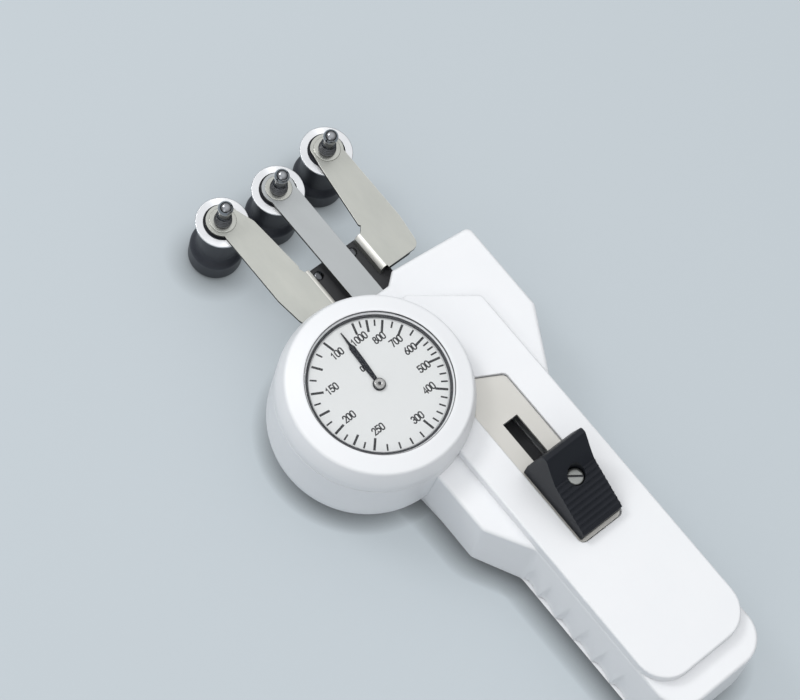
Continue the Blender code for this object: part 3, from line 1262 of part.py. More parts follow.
def build_carriage(parts):
    """Adds the sliding carriage with the knob and the outer rollers."""
    carriage = parts.axis("carriage_axis", (0.0, KNOB_FRONT, BAR_BOTTOM))
    left = carriage_arm("left_arm", -1, LEFT_ARM_OUTER, LEFT_ARM_INNER_FRONT, LEFT_ARM_INNER_REAR)
    right = carriage_arm("right_arm", 1, RIGHT_ARM_OUTER, RIGHT_ARM_INNER_FRONT, RIGHT_ARM_INNER_REAR)
    parts.add(left, NICKEL, carriage)
    parts.add(right, NICKEL, carriage)
    parts.add(carriage_web(), DARK_STEEL, carriage)
    web_bottom = WEB_TOP - WEB_THICKNESS
    for name, side in (("left_rivet", -1), ("right_rivet", 1)):
        parts.add(fastener(name, web_bottom, BAR_BOTTOM + ARM_THICKNESS), STEEL, carriage, (*rivet_place(side), 0.0))
    parts.add(fastener("bar_bolt", web_bottom, BAR_TOP), STEEL, carriage, (0.0, bolt_y(), 0.0))
    parts.add(slider_bar(), DARK_STEEL, carriage)
    parts.add(thumb_slider(), BLACK, carriage)
    parts.add(slider_screw(), CHROME, carriage, (0.0, SCREW_Y, 0.0))
    spring_rear = SPRING_HOOK_FRONT + WIRE_RADIUS + GAP
    length = RETURN_SPRING_FRONT - WIRE_RADIUS - spring_rear
    spring = coil("return_spring", RETURN_SPRING_RADIUS, length, RETURN_SPRING_TURNS)
    parts.add(spring, STEEL, carriage, (0.0, spring_rear, RETURN_SPRING_Z))
    add_roller(parts, "left", HEAD_X - ROLLER_SPREAD, OUTER_ROLLER_Y, carriage)
    add_roller(parts, "right", HEAD_X + ROLLER_SPREAD, OUTER_ROLLER_Y, carriage)


def build_measuring_arm(parts):
    """Adds the arm of the middle roller with its pin and spring."""
    arm_axis = parts.axis("measuring_axis", (HEAD_X, 0.0, ARM_BOTTOM))
    parts.add(measuring_arm(), NICKEL, arm_axis)
    parts.add(drive_pin(), STEEL, arm_axis, (DRIVE_PIN_X, DRIVE_PIN_Y, 0.0))
    spring_rear = MEASURING_SPRING_REAR + WIRE_RADIUS
    length = MEASURING_TAB_FRONT - MEASURING_TAB_THICKNESS - GAP - WIRE_RADIUS - spring_rear
    spring = coil("measuring_spring", MEASURING_SPRING_RADIUS, length, MEASURING_SPRING_TURNS)
    parts.add(spring, STEEL, arm_axis, (MEASURING_SPRING_X, spring_rear, MEASURING_SPRING_Z))
    add_roller(parts, "center", HEAD_X, CENTER_ROLLER_Y, arm_axis)


for old in list(bpy.data.objects):
    bpy.data.objects.remove(old)

WHITE = finish("white_paint", Colour.WHITE_PAINT, 0.45, 0.0)
NICKEL = finish("satin_nickel", Colour.SATIN_NICKEL, 0.42, 0.9)
WINDOW = finish("window_metal", Colour.WINDOW_METAL, 0.40, 0.8)
BLACK = finish("black_plastic", Colour.BLACK_PLASTIC, 0.45, 0.0)
DIAL = finish("dial_white", Colour.DIAL_WHITE, 0.55, 0.0)
GLASS = finish("crystal_glass", Colour.GLASS, 0.05, 0.0)
ALUMINIUM = finish("bright_aluminium", Colour.ALUMINIUM, 0.28, 1.0)
CHROME = finish("chrome", Colour.CHROME, 0.08, 1.0)
STEEL = finish("steel", Colour.STEEL, 0.35, 1.0)
DARK_STEEL = finish("dark_steel", Colour.DARK_STEEL, 0.50, 0.6)
BRASS = finish("brass", Colour.BRASS, 0.35, 1.0)

gauge = Assembly()
build_housing(gauge)
build_movement(gauge)
build_bezel(gauge)
build_carriage(gauge)
build_measuring_arm(gauge)
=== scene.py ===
"""Visual model of a hand-held dial tension gauge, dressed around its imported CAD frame.

Shapes are written in millimetres in the frame of the CAD model and turned into metres when a mesh is made:
+Y runs from the handle to the rollers, +Z up out of the dial, and the dial's centre lies at y = 0.
"""

from __future__ import annotations

import json
import logging
import math
from dataclasses import dataclass, field
from enum import Enum
from typing import Callable, Iterable, Sequence

import bmesh
import bpy
from mathutils import Matrix, Vector

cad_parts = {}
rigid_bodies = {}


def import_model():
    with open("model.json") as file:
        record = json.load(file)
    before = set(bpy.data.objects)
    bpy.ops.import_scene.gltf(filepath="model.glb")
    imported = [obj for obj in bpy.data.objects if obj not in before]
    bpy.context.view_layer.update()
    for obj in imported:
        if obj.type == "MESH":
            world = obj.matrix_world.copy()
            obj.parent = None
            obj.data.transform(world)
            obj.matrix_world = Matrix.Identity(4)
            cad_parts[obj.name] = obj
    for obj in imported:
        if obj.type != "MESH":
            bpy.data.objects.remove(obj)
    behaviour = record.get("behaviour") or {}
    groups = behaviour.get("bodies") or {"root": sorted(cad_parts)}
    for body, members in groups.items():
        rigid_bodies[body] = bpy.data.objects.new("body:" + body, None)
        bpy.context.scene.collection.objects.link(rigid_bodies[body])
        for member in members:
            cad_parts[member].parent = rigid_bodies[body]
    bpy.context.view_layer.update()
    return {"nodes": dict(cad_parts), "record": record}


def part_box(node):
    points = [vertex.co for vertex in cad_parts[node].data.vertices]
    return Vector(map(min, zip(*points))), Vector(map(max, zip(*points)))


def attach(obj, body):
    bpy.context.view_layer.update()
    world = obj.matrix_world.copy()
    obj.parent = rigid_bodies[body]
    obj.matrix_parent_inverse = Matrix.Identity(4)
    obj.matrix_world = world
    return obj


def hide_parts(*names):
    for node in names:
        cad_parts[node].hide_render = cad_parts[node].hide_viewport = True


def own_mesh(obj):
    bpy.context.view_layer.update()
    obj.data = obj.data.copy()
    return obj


LOG = logging.getLogger("gauge")
MM = 0.001
OVERRUN = 2.0
GAP = 0.3
HAIR = 0.02
QUARTER = math.pi / 2

Point = tuple[float, float]
Corner = tuple[float, float, float]
Outline = list[Point]
Ring = tuple[Outline, float]
Stroke = tuple[Outline, bool]
Feeds = dict[str | int, object]
Piece = bpy.types.Object
Shape = bmesh.types.BMesh


class Body(str, Enum):
    """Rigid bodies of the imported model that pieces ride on."""

    HOUSING = "housing"
    BEZEL = "bezel"
    CARRIAGE = "carriage"
    MEASURING = "measuring"
    POINTER = "pointer"
    LEFT_ROLLER = "left_roller"
    RIGHT_ROLLER = "right_roller"
    CENTER_ROLLER = "center_roller"


class Slot(str, Enum):
    """Material slots of the record."""

    WHITE = "white_paint"
    NICKEL = "satin_nickel"
    WINDOW = "window_metal"
    BLACK = "black_plastic"
    DIAL = "dial_white"
    GLASS = "crystal_glass"
    ALUMINIUM = "bright_aluminium"
    CHROME = "chrome"
    STEEL = "steel"
    DARK_STEEL = "dark_steel"
    BRASS = "brass"


class Axis(Enum):
    """Directions that a profile can be swept along."""

    X = "x"
    Y = "y"


# Sizes of the pieces


@dataclass(frozen=True)
class HousingSize:
    """The casting with its base, handle and deck."""

    foot_z: float = 7.0
    top_z: float = 30.1
    ceiling_z: float = 28.9
    deck_z: float = 34.0
    deck_root: float = 0.6
    recess_z: float = 31.8
    side_wall: float = 1.6
    right: float = 34.25
    left: float = 30.0
    front: float = 30.9
    front_slope: float = 2.9
    front_recess: float = 3.4
    front_recess_edge: float = 3.4
    front_recess_ramp: float = 4.2
    ramp_radii: Point = (1.5, 1.2)
    right_side_rear: float = -6.0
    right_shoulder_rear: float = -29.0
    left_side_rear: float = -54.5
    left_shoulder_rear: float = -70.0
    grip_half: float = 20.5
    grip_waist_rear: float = -56.0
    grip_swell: float = 0.7
    grip_end: float = -138.5
    grip_end_radius: float = 11.0
    corner_radius: float = 2.2
    shoulder_radius: float = 4.5
    base_draft: float = 0.6
    grip_draft: float = 1.6
    edge_radius: float = 1.2
    deck_half: float = 20.3
    deck_front: float = 20.7
    deck_front_right: float = 6.2
    deck_rear: float = -129.0
    deck_edge_radius: float = 0.8
    mouth_sill: float = 18.5
    mouth_rear: float = 22.0
    mouth_left: float = -19.6
    mouth_right: float = 7.0
    ground_low: Corner = (-150.0, -300.0, -OVERRUN)
    ground_high: Corner = (150.0, 150.0, 7.0)


@dataclass(frozen=True)
class ScallopSize:
    """Finger scallops along the handle's left wall."""

    start: float = -71.9
    first: float = -79.4
    pitch: float = 9.0
    depth: float = 1.3
    run_in: float = 2.1
    count: int = 6
    top_z: float = 25.0


@dataclass(frozen=True)
class WindowSize:
    """The recess with its plate and the knob's slot."""

    half: float = 9.0
    front_left: float = -9.7
    front_right: float = -19.2
    rear: float = -78.0
    corner_radius: float = 2.2
    plate_top: float = 33.1
    plate_thickness: float = 1.0
    slot_half: float = 3.0
    slot_front: float = -32.05
    slot_rear: float = -67.5
    edge: float = 0.1


@dataclass(frozen=True)
class DialSize:
    """Drum, bezel, crystal, dial and pointer."""

    x: float = -30.4
    drum_radius: float = 32.3
    drum_foot_radius: float = 29.5
    drum_round: float = 8.0
    drum_top: float = 34.15
    drum_chamfer: float = 0.15
    drum_bore: float = 27.9
    ledge_bore: float = 25.0
    ledge_top: float = 31.0
    spigot_radius: float = 28.2
    spigot_bore: float = 27.0
    spigot_top: float = 37.5
    seam: float = 0.45
    seam_radius: float = 31.95
    seam_lap: float = 0.05
    # ring of painted shade in the seam under the bezel
    felt_gap: float = 0.03
    felt_round: float = 0.1
    side_z: float = 37.0
    side_power: float = 1.5
    edge_radius: float = 30.4
    edge_z: float = 44.3
    edge_round: float = 1.5
    edge_start: float = math.radians(21.5)
    edge_end: float = math.radians(76.4)
    chamfer: float = 0.12
    rim_radius: float = 24.75
    rim_land: float = 0.5
    top: float = 46.4
    opening: float = 24.13
    seat: float = 23.98
    seat_z: float = 45.45
    seat_lip: float = 0.15
    crystal: float = 0.5
    crystal_gap: float = 0.2
    crystal_edge: float = 0.1
    seal_gap: float = 0.03
    seal_sink: float = 0.2
    seal_round: tuple[float, ...] = (0.04, 0.04, 0.05, 0.05)
    # dark ring of painted shade on the cone between crystal and dial
    gasket_inner: float = 22.6
    gasket_outer: float = 23.45
    gasket_sink: float = 0.08
    gasket_round: float = 0.06
    visible: float = 22.65
    plate_top: float = 44.07
    pointer_z: float = 44.37
    pointer_thickness: float = 0.3
    pointer_angle: float = math.radians(87.0)
    pointer_side: tuple[Point, ...] = (
        (-1.3, 0.65), (1.7, 0.65), (7.4, 0.9), (14.6, 1.0), (15.9, 0.42), (20.6, 0.14),
    )
    hub_bottom: float = 44.97
    hub_radius: float = 1.8
    hub_top: float = 45.47
    hub_bore: float = 0.5
    hub_edge: tuple[Point, ...] = ((0.0, 0.22), (0.12, 0.06), (0.3, 0.0))
    hub_bore_edge: Point = (0.12, 0.1)
    pin_radius: float = 0.42
    pin_edge: tuple[Point, ...] = ((0.0, 0.12), (0.12, 0.04))
    needle_edge: float = 0.06


@dataclass(frozen=True)
class ScaleSize:
    """The printed scale; angles run clockwise from +Y, in degrees.

    Each label holds its number, the angle of its tick, and the angle and radius of its figures.
    """

    labels: tuple[tuple[int, float, float, float], ...] = (
        (100, 346.0, 345.6, 16.5), (150, 298.0, 301.3, 15.1), (200, 258.3, 259.9, 14.7),
        (250, 223.5, 220.8, 14.8), (300, 168.0, 170.0, 15.9), (400, 130.5, 130.5, 15.8),
        (500, 101.7, 103.8, 15.8), (600, 79.6, 77.6, 16.1), (700, 59.3, 59.1, 16.0),
        (800, 42.3, 39.4, 15.8), (900, 28.8, 28.8, 15.8), (1000, 16.4, 16.5, 16.4),
    )
    steps: tuple[int, ...] = (4, 4, 4, 5, 5, 4, 4, 2, 2, 2, 2)
    unlabelled: tuple[int, ...] = (900,)
    halved_steps: int = 4
    halved_below: int = 250
    outer: float = 22.0
    long_inner: float = 17.9
    middle_inner: float = 18.3
    short_inner: float = 19.8
    long_width: float = 0.78
    short_width: float = 0.56
    label_height: float = 2.3
    stroke: float = 0.44
    stroke_lift: float = 0.003
    zero_height: float = 1.7
    zero_place: Point = (-0.95, 7.25)
    ring_inner: float = 22.3
    ring_outer: float = 22.42
    lift: float = 0.005
    ink: float = 0.03


@dataclass(frozen=True)
class HeadSize:
    """Rollers, studs and arms; x distances run from the head's middle."""

    x: float = -7.8
    spread: float = 22.0
    outer_y: float = 77.5
    center_y: float = 75.8
    roller_bottom: float = 0.6
    roller_top: float = 25.9
    flange_radius: float = 9.1
    flange_top: float = 8.4
    flare_top: float = 12.0
    waist_radius: float = 7.2
    roller_edge: float = 1.2
    bore: float = 4.3
    throat: float = 2.6
    top_web: float = 0.8
    ring_radius: float = 8.93
    ring_hole: float = 6.3
    ring_bottom: float = 26.2
    ring_top: float = 27.0
    ring_round: tuple[float, ...] = (0.1, 0.3, 0.3, 0.12)
    axle: float = 2.0
    axle_bottom: float = 3.0
    clip_z: float = 5.0
    clip_thickness: float = 1.0
    clip_groove: float = 0.5
    stud_foot: float = 3.0
    stud_rings: int = 4
    stud_ring_pitch: float = 0.9
    stud_ring_step: float = 0.13
    stud_ring_form: tuple[Point, ...] = ((0.08, 0.0), (0.0, 0.12), (0.0, 0.62), (0.3, 0.8))
    stud_neck: float = 2.05
    neck_waist: float = 0.92
    neck_fillet: float = 0.3
    neck_tapers: Point = (0.7, 0.6)
    neck_sink: float = 0.1
    ball: float = 2.55
    ball_z: float = 37.6
    ball_sink: Point = (0.06, 0.08)
    washer_radius: float = 4.5
    washer_thickness: float = 0.35
    washer_gap: Point = (0.05, 0.01)
    washer_round: tuple[float, ...] = (0.05, 0.12, 0.16, 0.05)
    arm_top: float = 28.5
    arm_thickness: float = 1.2
    arm_edge: float = 0.14
    arm_end: float = 5.6
    arm_wrap: float = math.radians(150.0)
    arm_rear: float = 32.8
    arm_rear_inset: float = 1.5
    arm_corner: float = 3.0
    inner_front_y: float = 71.5
    fold_x: float = 9.6
    fold_rear: float = 33.7
    fold_front: float = 47.6
    fold_radius: float = 2.2
    fold_foot: float = 5.0
    foot_bottom: float = 22.4
    # dark strip of painted shade under each outer arm's rear edge
    foot_rear: float = 29.6
    backing_depth: float = 3.0
    backing_width: float = 2.6
    backing_inset: float = 0.4
    # black block of painted shade beside the right fold
    lug_reach: float = 6.2
    lug_front: float = 37.0
    lug_edge: float = 0.3
    lug_lap: float = 0.1
    rivet_radius: float = 1.5
    rivet_rise: float = 0.55
    rivet_brim: float = 0.12
    rivet_lap: float = 0.05
    rivet_tail: float = 0.5
    rivet_tail_edge: Point = (0.2, 0.3)
    measuring_right: float = 5.0
    measuring_left_front: float = 4.9
    measuring_left_neck: float = 4.75
    measuring_left_rear: float = 6.8
    neck_front: float = 31.0
    neck_rear: float = 28.0
    measuring_rear: float = -4.0
    guide_x: float = -10.6
    guide_ys: tuple[float, float] = (18.5, 8.5)
    guide_half: float = 1.5
    measuring_travel: float = 1.8723
    pin_place: Point = (-7.6, 0.936)
    pin_hole: float = 0.9
    tab_x: float = -11.7
    tab_half: float = 2.2
    tab_front: float = -0.8
    tab_thickness: float = 1.2
    tab_bottom: float = 19.3
    tab_lap: float = 0.4


@dataclass(frozen=True)
class ArmPlan:
    """What sets one outer arm apart: its side (-1 or 1), and how far out its edges lie."""

    name: str
    node: str
    side: int
    outer: float
    inner_front: float
    inner_rear: float

    def across(self, distance: float) -> float:
        """Gives x at a distance from the head's middle."""
        return HEAD.x + self.side * distance


@dataclass(frozen=True)
class Spring:
    """A compression spring that shortens along +Y as its joint moves."""

    node: str
    body: Body
    joint: str
    travel: float
    held_rear: bool


@dataclass(frozen=True)
class KnobSize:
    """The thumb slider and its screw."""

    half: float = 8.2
    front: float = -48.2
    length: float = 28.3
    bottom: float = 33.4
    height: float = 21.3
    face: tuple[Point, ...] = ((0.0, 0.26), (0.04, 0.62), (0.09, 0.97), (0.11, 1.0), (0.16, 1.0), (0.19, 0.96))
    bend: tuple[Point, ...] = ((0.31, 0.76), (0.37, 0.67), (0.42, 0.60))
    tail_height: float = 4.6
    ribs: int = 9
    rib_height: float = 0.35
    edge: float = 0.6
    edge_segments: int = 3
    edge_limit: float = 60.0
    stem_half: float = 2.6
    stem_lap: float = 1.0
    stem_front: float = -48.5
    stem_rear: float = -66.5
    stem_bottom: float = 24.7
    screw_at: Point = (0.0, -60.6)
    head_radius: float = 2.9
    head_top: float = 44.6
    head_height: float = 1.6
    crown: tuple[Point, ...] = ((0.0, 0.5), (0.15, 0.2), (0.5, 0.03), (1.0, 0.0))
    shank_radius: float = 1.4
    shank_bottom: float = 24.7
    slot_width: float = 0.75
    slot_depth: float = 0.9
    slot_angle: float = math.radians(-36.0)
    # dark block of painted shade in the screw's slot
    grime_gap: Point = (0.08, 0.03)
    grime_share: float = 0.55
    grime_lift: float = 0.01
    grime_round: float = 0.1


HOUSING = HousingSize()
SCALLOPS = ScallopSize()
WINDOW = WindowSize()
DIAL = DialSize()
SCALE = ScaleSize()
HEAD = HeadSize()
KNOB = KnobSize()
DIAL_CENTRE: Point = (DIAL.x, 0.0)
ARMS = (
    ArmPlan("left_plate_arm", "left_arm", -1, 25.0, 13.9, 12.2),
    ArmPlan("right_plate_arm", "right_arm", 1, 26.4, 15.8, 13.2),
)
SPRINGS = (
    Spring("return_spring", Body.CARRIAGE, "carriage_slide", 15.5, True),
    Spring("measuring_spring", Body.MEASURING, "measuring_slide", HEAD.measuring_travel, False),
)


# Plane outlines


def arc(centre: Point, radius: float, start: float, end: float, steps: int) -> Outline:
    """Lays points along an arc.

    Args:
        centre: Middle of the arc.
        radius: Its radius.
        start: First angle in radians.
        end: Last angle in radians.
        steps: Number of chords.

    Returns:
        The points, both ends included.
    """
    turn = (end - start) / steps
    return [
        (centre[0] + radius * math.cos(start + turn * i), centre[1] + radius * math.sin(start + turn * i))
        for i in range(steps + 1)
    ]


def circle(radius: float, sides: int, centre: Point = (0.0, 0.0)) -> Outline:
    """Lays points along a full circle."""
    return arc(centre, radius, 0.0, math.tau, sides)[:-1]


def quarter(steps: int) -> list[Point]:
    """Gives cosine and sine at even steps over a quarter turn, both ends included."""
    return [(math.cos(QUARTER * i / steps), math.sin(QUARTER * i / steps)) for i in range(steps + 1)]


def rounded(corners: Sequence[Corner], steps: int = 8) -> Outline:
    """Rounds the corners of a closed outline.

    Args:
        corners: Each corner as x, y and radius; a radius of 0 keeps it sharp.
        steps: Chords in each arc.

    Returns:
        The outline's points, in the corners' order.
    """
    points: Outline = []
    for i, (x, y, radius) in enumerate(corners):
        if not radius:
            points.append((x, y))
            continue
        here = Vector((x, y))
        before = (Vector(corners[i - 1][:2]) - here).normalized()
        after = (Vector(corners[(i + 1) % len(corners)][:2]) - here).normalized()
        half = before.angle(after) / 2
        centre = here + (before + after).normalized() * radius / math.sin(half)
        first = here + before * radius / math.tan(half) - centre
        last = here + after * radius / math.tan(half) - centre
        start = math.atan2(first.y, first.x)
        swing = math.remainder(math.atan2(last.y, last.x) - start, math.tau)
        points += arc((centre.x, centre.y), radius, start, start + swing, steps)
    return points


def band(
    low: Sequence[float], high: Sequence[float], radii: Sequence[float] = (0.0,) * 4, steps: int = 3,
) -> Outline:
    """Draws a rectangle with rounded corners.

    Args:
        low: Least x and y.
        high: Greatest x and y.
        radii: Radius of each corner, counter-clockwise from the lowest.
        steps: Chords in each arc.

    Returns:
        The outline.
    """
    corners = ((low[0], low[1]), (high[0], low[1]), (high[0], high[1]), (low[0], high[1]))
    return rounded([(x, y, radius) for (x, y), radius in zip(corners, radii)], steps)


class Figures:
    """Plain narrow figures drawn with one even stroke, in a cell one unit high.

    Each figure is a list of strokes, and each stroke has its middle line and whether it closes on itself.
    """

    WIDTH = 0.56
    PITCH = 0.76
    SQUEEZE = 0.84
    HALF = WIDTH / 2
    STROKES: dict[str, list[Stroke]] = {
        "0": [(
            arc((HALF, 1.0 - HALF), HALF, 0.0, math.pi, 12)
            + arc((HALF, HALF), HALF, math.pi, math.tau, 12),
            True,
        )],
        "1": [([(0.10, 0.76), (HALF + 0.02, 1.0), (HALF + 0.02, 0.0)], False)],
        "2": [(
            arc((HALF, 0.72), 0.27, QUARTER * 1.9, -QUARTER * 0.35, 12) + [(0.02, 0.0), (WIDTH, 0.0)], False,
        )],
        "3": [
            (arc((HALF, 0.75), 0.25, QUARTER * 1.7, -QUARTER, 10), False),
            (arc((HALF, 0.26), 0.27, QUARTER, -QUARTER * 1.75, 12), False),
        ],
        "4": [([(0.42, 0.0), (0.42, 1.0), (0.0, 0.28), (WIDTH + 0.04, 0.28)], False)],
        "5": [([(WIDTH - 0.02, 1.0), (0.08, 1.0), (0.05, 0.54)] + arc(
            (HALF - 0.02, 0.31), 0.30, QUARTER * 1.45, -QUARTER * 1.7, 12,
        ), False)],
        "6": [(circle(HALF, 20, (HALF, HALF)), True), ([(0.44, 1.0), (0.14, 0.66), (0.01, 0.34)], False)],
        "7": [([(0.0, 1.0), (WIDTH, 1.0), (0.18, 0.0)], False)],
        "8": [(circle(0.23, 18, (HALF, 0.76)), True), (circle(0.27, 20, (HALF, 0.27)), True)],
    }


# Meshes


def make_object(name: str, shape: Shape) -> Piece:
    """Turns a bmesh in millimetres into a linked object in metres.

    Args:
        name: Name of the object and its mesh.
        shape: The bmesh, which is freed.

    Returns:
        The object, at the origin.
    """
    bmesh.ops.scale(shape, vec=(MM, MM, MM), verts=shape.verts)
    bmesh.ops.recalc_face_normals(shape, faces=shape.faces)
    mesh = bpy.data.meshes.new(name)
    shape.to_mesh(mesh)
    shape.free()
    return place(bpy.data.objects.new(name, mesh))


def place(obj: bpy.types.Object) -> bpy.types.Object:
    """Links an object to the scene."""
    bpy.context.scene.collection.objects.link(obj)
    return obj


def skin(shape: Shape, low: Sequence[bmesh.types.BMVert], high: Sequence[bmesh.types.BMVert]) -> None:
    """Joins two closed rings of vertices with four-sided faces.

    Args:
        shape: The bmesh to add to.
        low: The first ring.
        high: The second ring, with as many vertices.
    """
    for i in range(len(low)):
        after = (i + 1) % len(low)
        shape.faces.new((low[i], low[after], high[after], high[i]))


def loft(name: str, rings: Sequence[Ring]) -> Piece:
    """Skins a closed solid through outlines with equal point counts.

    Args:
        name: Name of the object.
        rings: Pairs of outline and height, from bottom to top.

    Returns:
        The object.
    """
    shape = bmesh.new()
    layers = [[shape.verts.new((x, y, z)) for x, y in outline] for outline, z in rings]
    for low, high in zip(layers, layers[1:]):
        skin(shape, low, high)
    shape.faces.new(reversed(layers[0]))
    shape.faces.new(layers[-1])
    return make_object(name, shape)


def prism(name: str, outline: Outline, bottom: float, top: float) -> Piece:
    """Extrudes an outline straight up."""
    return loft(name, [(outline, bottom), (outline, top)])


def block(name: str, low: Corner, high: Corner) -> Piece:
    """Makes a box between its lowest and its highest corner."""
    return prism(name, band(low, high), low[2], high[2])


def rod(name: str, radius: float, bottom: float, top: float, centre: Point, sides: int = 48) -> Piece:
    """Makes an upright cylinder."""
    return prism(name, circle(radius, sides, centre), bottom, top)


def sweep(name: str, axis: Axis, profile: Outline, start: float, end: float) -> Piece:
    """Extrudes a profile along X or Y.

    Args:
        name: Name of the object.
        axis: Direction; the profile is (y, z) for X and (x, z) for Y.
        profile: The closed profile.
        start: Where it starts.
        end: Where it ends.

    Returns:
        The object.
    """
    shape = bmesh.new()
    ends = [
        [shape.verts.new((at, a, b) if axis is Axis.X else (a, at, b)) for a, b in profile]
        for at in (start, end)
    ]
    skin(shape, *ends)
    for cap in ends:
        shape.faces.new(cap)
    return make_object(name, shape)


def lathe(name: str, profile: Outline, sides: int, centre: Point = (0.0, 0.0)) -> Piece:
    """Spins a closed profile about a vertical axis.

    Args:
        name: Name of the object.
        profile: Points of radius and height.
        sides: Number of steps.
        centre: Where the axis stands.

    Returns:
        The object.
    """
    weld = 0.002
    shape = bmesh.new()
    corners = [shape.verts.new((radius, 0.0, height)) for radius, height in profile]
    edges = [shape.edges.new((corners[i - 1], corners[i])) for i in range(len(corners))]
    bmesh.ops.spin(
        shape, geom=corners + edges, cent=(0.0, 0.0, 0.0), axis=(0.0, 0.0, 1.0),
        angle=math.tau, steps=sides, use_merge=True,
    )
    bmesh.ops.remove_doubles(shape, verts=shape.verts, dist=weld)
    bmesh.ops.translate(shape, verts=shape.verts, vec=(centre[0], centre[1], 0.0))
    return make_object(name, shape)


def settle(obj: Piece) -> Piece:
    """Applies an object's modifiers.

    Args:
        obj: The object.

    Returns:
        The same object.
    """
    depsgraph = bpy.context.evaluated_depsgraph_get()
    mesh = bpy.data.meshes.new_from_object(obj.evaluated_get(depsgraph))
    mesh.name = obj.name
    obj.modifiers.clear()
    obj.data = mesh
    return obj


def combine(target: Piece, tools: Iterable[Piece], operation: str) -> Piece:
    """Joins tools to a target or cuts them away, and drops the tools.

    Args:
        target: The object that stays.
        tools: The objects to join or cut with.
        operation: UNION or DIFFERENCE.

    Returns:
        The target.
    """
    for tool in tools:
        modifier = target.modifiers.new(operation.title(), "BOOLEAN")
        modifier.operation = operation
        modifier.object = tool
        settle(target)
        bpy.data.objects.remove(tool)
    return target


def join(target: Piece, *tools: Piece) -> Piece:
    """Joins tools to a target."""
    return combine(target, tools, "UNION")


def cut(target: Piece, *tools: Piece) -> Piece:
    """Cuts tools out of a target."""
    return combine(target, tools, "DIFFERENCE")


def soften(obj: Piece, width: float, segments: int = 2, limit: float = 50.0) -> Piece:
    """Bevels an object's sharp edges.

    Args:
        obj: The object.
        width: Bevel width in millimetres.
        segments: Chords across the bevel.
        limit: Least angle, in degrees, of an edge that is bevelled.

    Returns:
        The same object.
    """
    bevel = obj.modifiers.new("Soft edges", "BEVEL")
    bevel.width = width * MM
    bevel.segments = segments
    bevel.limit_method = "ANGLE"
    bevel.angle_limit = math.radians(limit)
    bevel.harden_normals = False
    return settle(obj)


def shade(obj: Piece, angle: float = 40.0) -> Piece:
    """Shades an object smooth across all but its sharp edges.

    Args:
        obj: The object.
        angle: Edges sharper than this angle, in degrees, stay sharp.

    Returns:
        The same object.
    """
    obj.data.shade_smooth()
    obj.data.set_sharp_from_angle(angle=math.radians(angle))
    weighted = obj.modifiers.new("Flat faces first", "WEIGHTED_NORMAL")
    weighted.keep_sharp = True
    weighted.weight = 100
    return obj


# Finishes


@dataclass(frozen=True)
class GrainSize:
    """Scale and strength of a grain."""

    mottle_scale: float
    fine_scale: float
    depth: float
    edge: float
    stretch: Corner = (1.0, 1.0, 1.0)


class Grain(Enum):
    """Fine structure of a surface."""

    ENAMEL = GrainSize(60.0, 1400.0, 0.06, 0.0005)
    SHEET = GrainSize(140.0, 2600.0, 0.10, 0.00012, (1.0, 0.35, 1.0))
    MATT_METAL = GrainSize(90.0, 3000.0, 0.10, 0.0001)
    TURNED = GrainSize(200.0, 2200.0, 0.05, 0.00015, (0.4, 0.4, 3.0))
    MOULDED = GrainSize(160.0, 3200.0, 0.22, 0.0002)
    SMOOTH = GrainSize(80.0, 900.0, 0.015, 0.0001)


@dataclass(frozen=True)
class Finish:
    """One material: a base colour with its variation, its gloss and its grain."""

    name: str
    slot: Slot
    colour: Corner
    shadow_colour: Corner
    roughness: float
    spread: float
    metallic: float
    grain: Grain
    coat: float = 0.0
    specular: float = 0.5
    turned: float = 0.0


ENAMEL = Finish(
    "white_enamel", Slot.WHITE, (0.84, 0.85, 0.865), (0.80, 0.815, 0.835), 0.42, 0.06, 0.0, Grain.ENAMEL, 0.1,
)
NICKEL = Finish(
    "nickel_sheet", Slot.NICKEL, (0.51, 0.515, 0.475), (0.405, 0.415, 0.39), 0.40, 0.12, 0.9, Grain.SHEET,
)
WINDOW_SHEET = Finish(
    "window_sheet", Slot.WINDOW, (0.64, 0.63, 0.595), (0.595, 0.585, 0.55), 0.50, 0.06, 0.6, Grain.MATT_METAL,
)
MOULDING = Finish(
    "black_moulding", Slot.BLACK, (0.0115, 0.0135, 0.0185), (0.017, 0.0195, 0.025), 0.46, 0.10, 0.0,
    Grain.MOULDED, specular=0.17,
)
DIAL_GROUND = Finish(
    "dial_print_ground", Slot.DIAL, (0.70, 0.715, 0.715), (0.675, 0.69, 0.69), 0.60, 0.04, 0.0, Grain.SMOOTH,
)
BRIGHT = Finish(
    "bright_turned", Slot.ALUMINIUM, (0.79, 0.80, 0.815), (0.67, 0.68, 0.70), 0.32, 0.10, 1.0, Grain.TURNED,
    turned=0.9,
)
CHROME = Finish(
    "polished_chrome", Slot.CHROME, (0.31, 0.32, 0.335), (0.25, 0.26, 0.275), 0.08, 0.03, 1.0, Grain.SMOOTH,
)
STEEL = Finish(
    "plain_steel", Slot.STEEL, (0.50, 0.51, 0.52), (0.42, 0.43, 0.44), 0.34, 0.10, 1.0, Grain.TURNED,
)
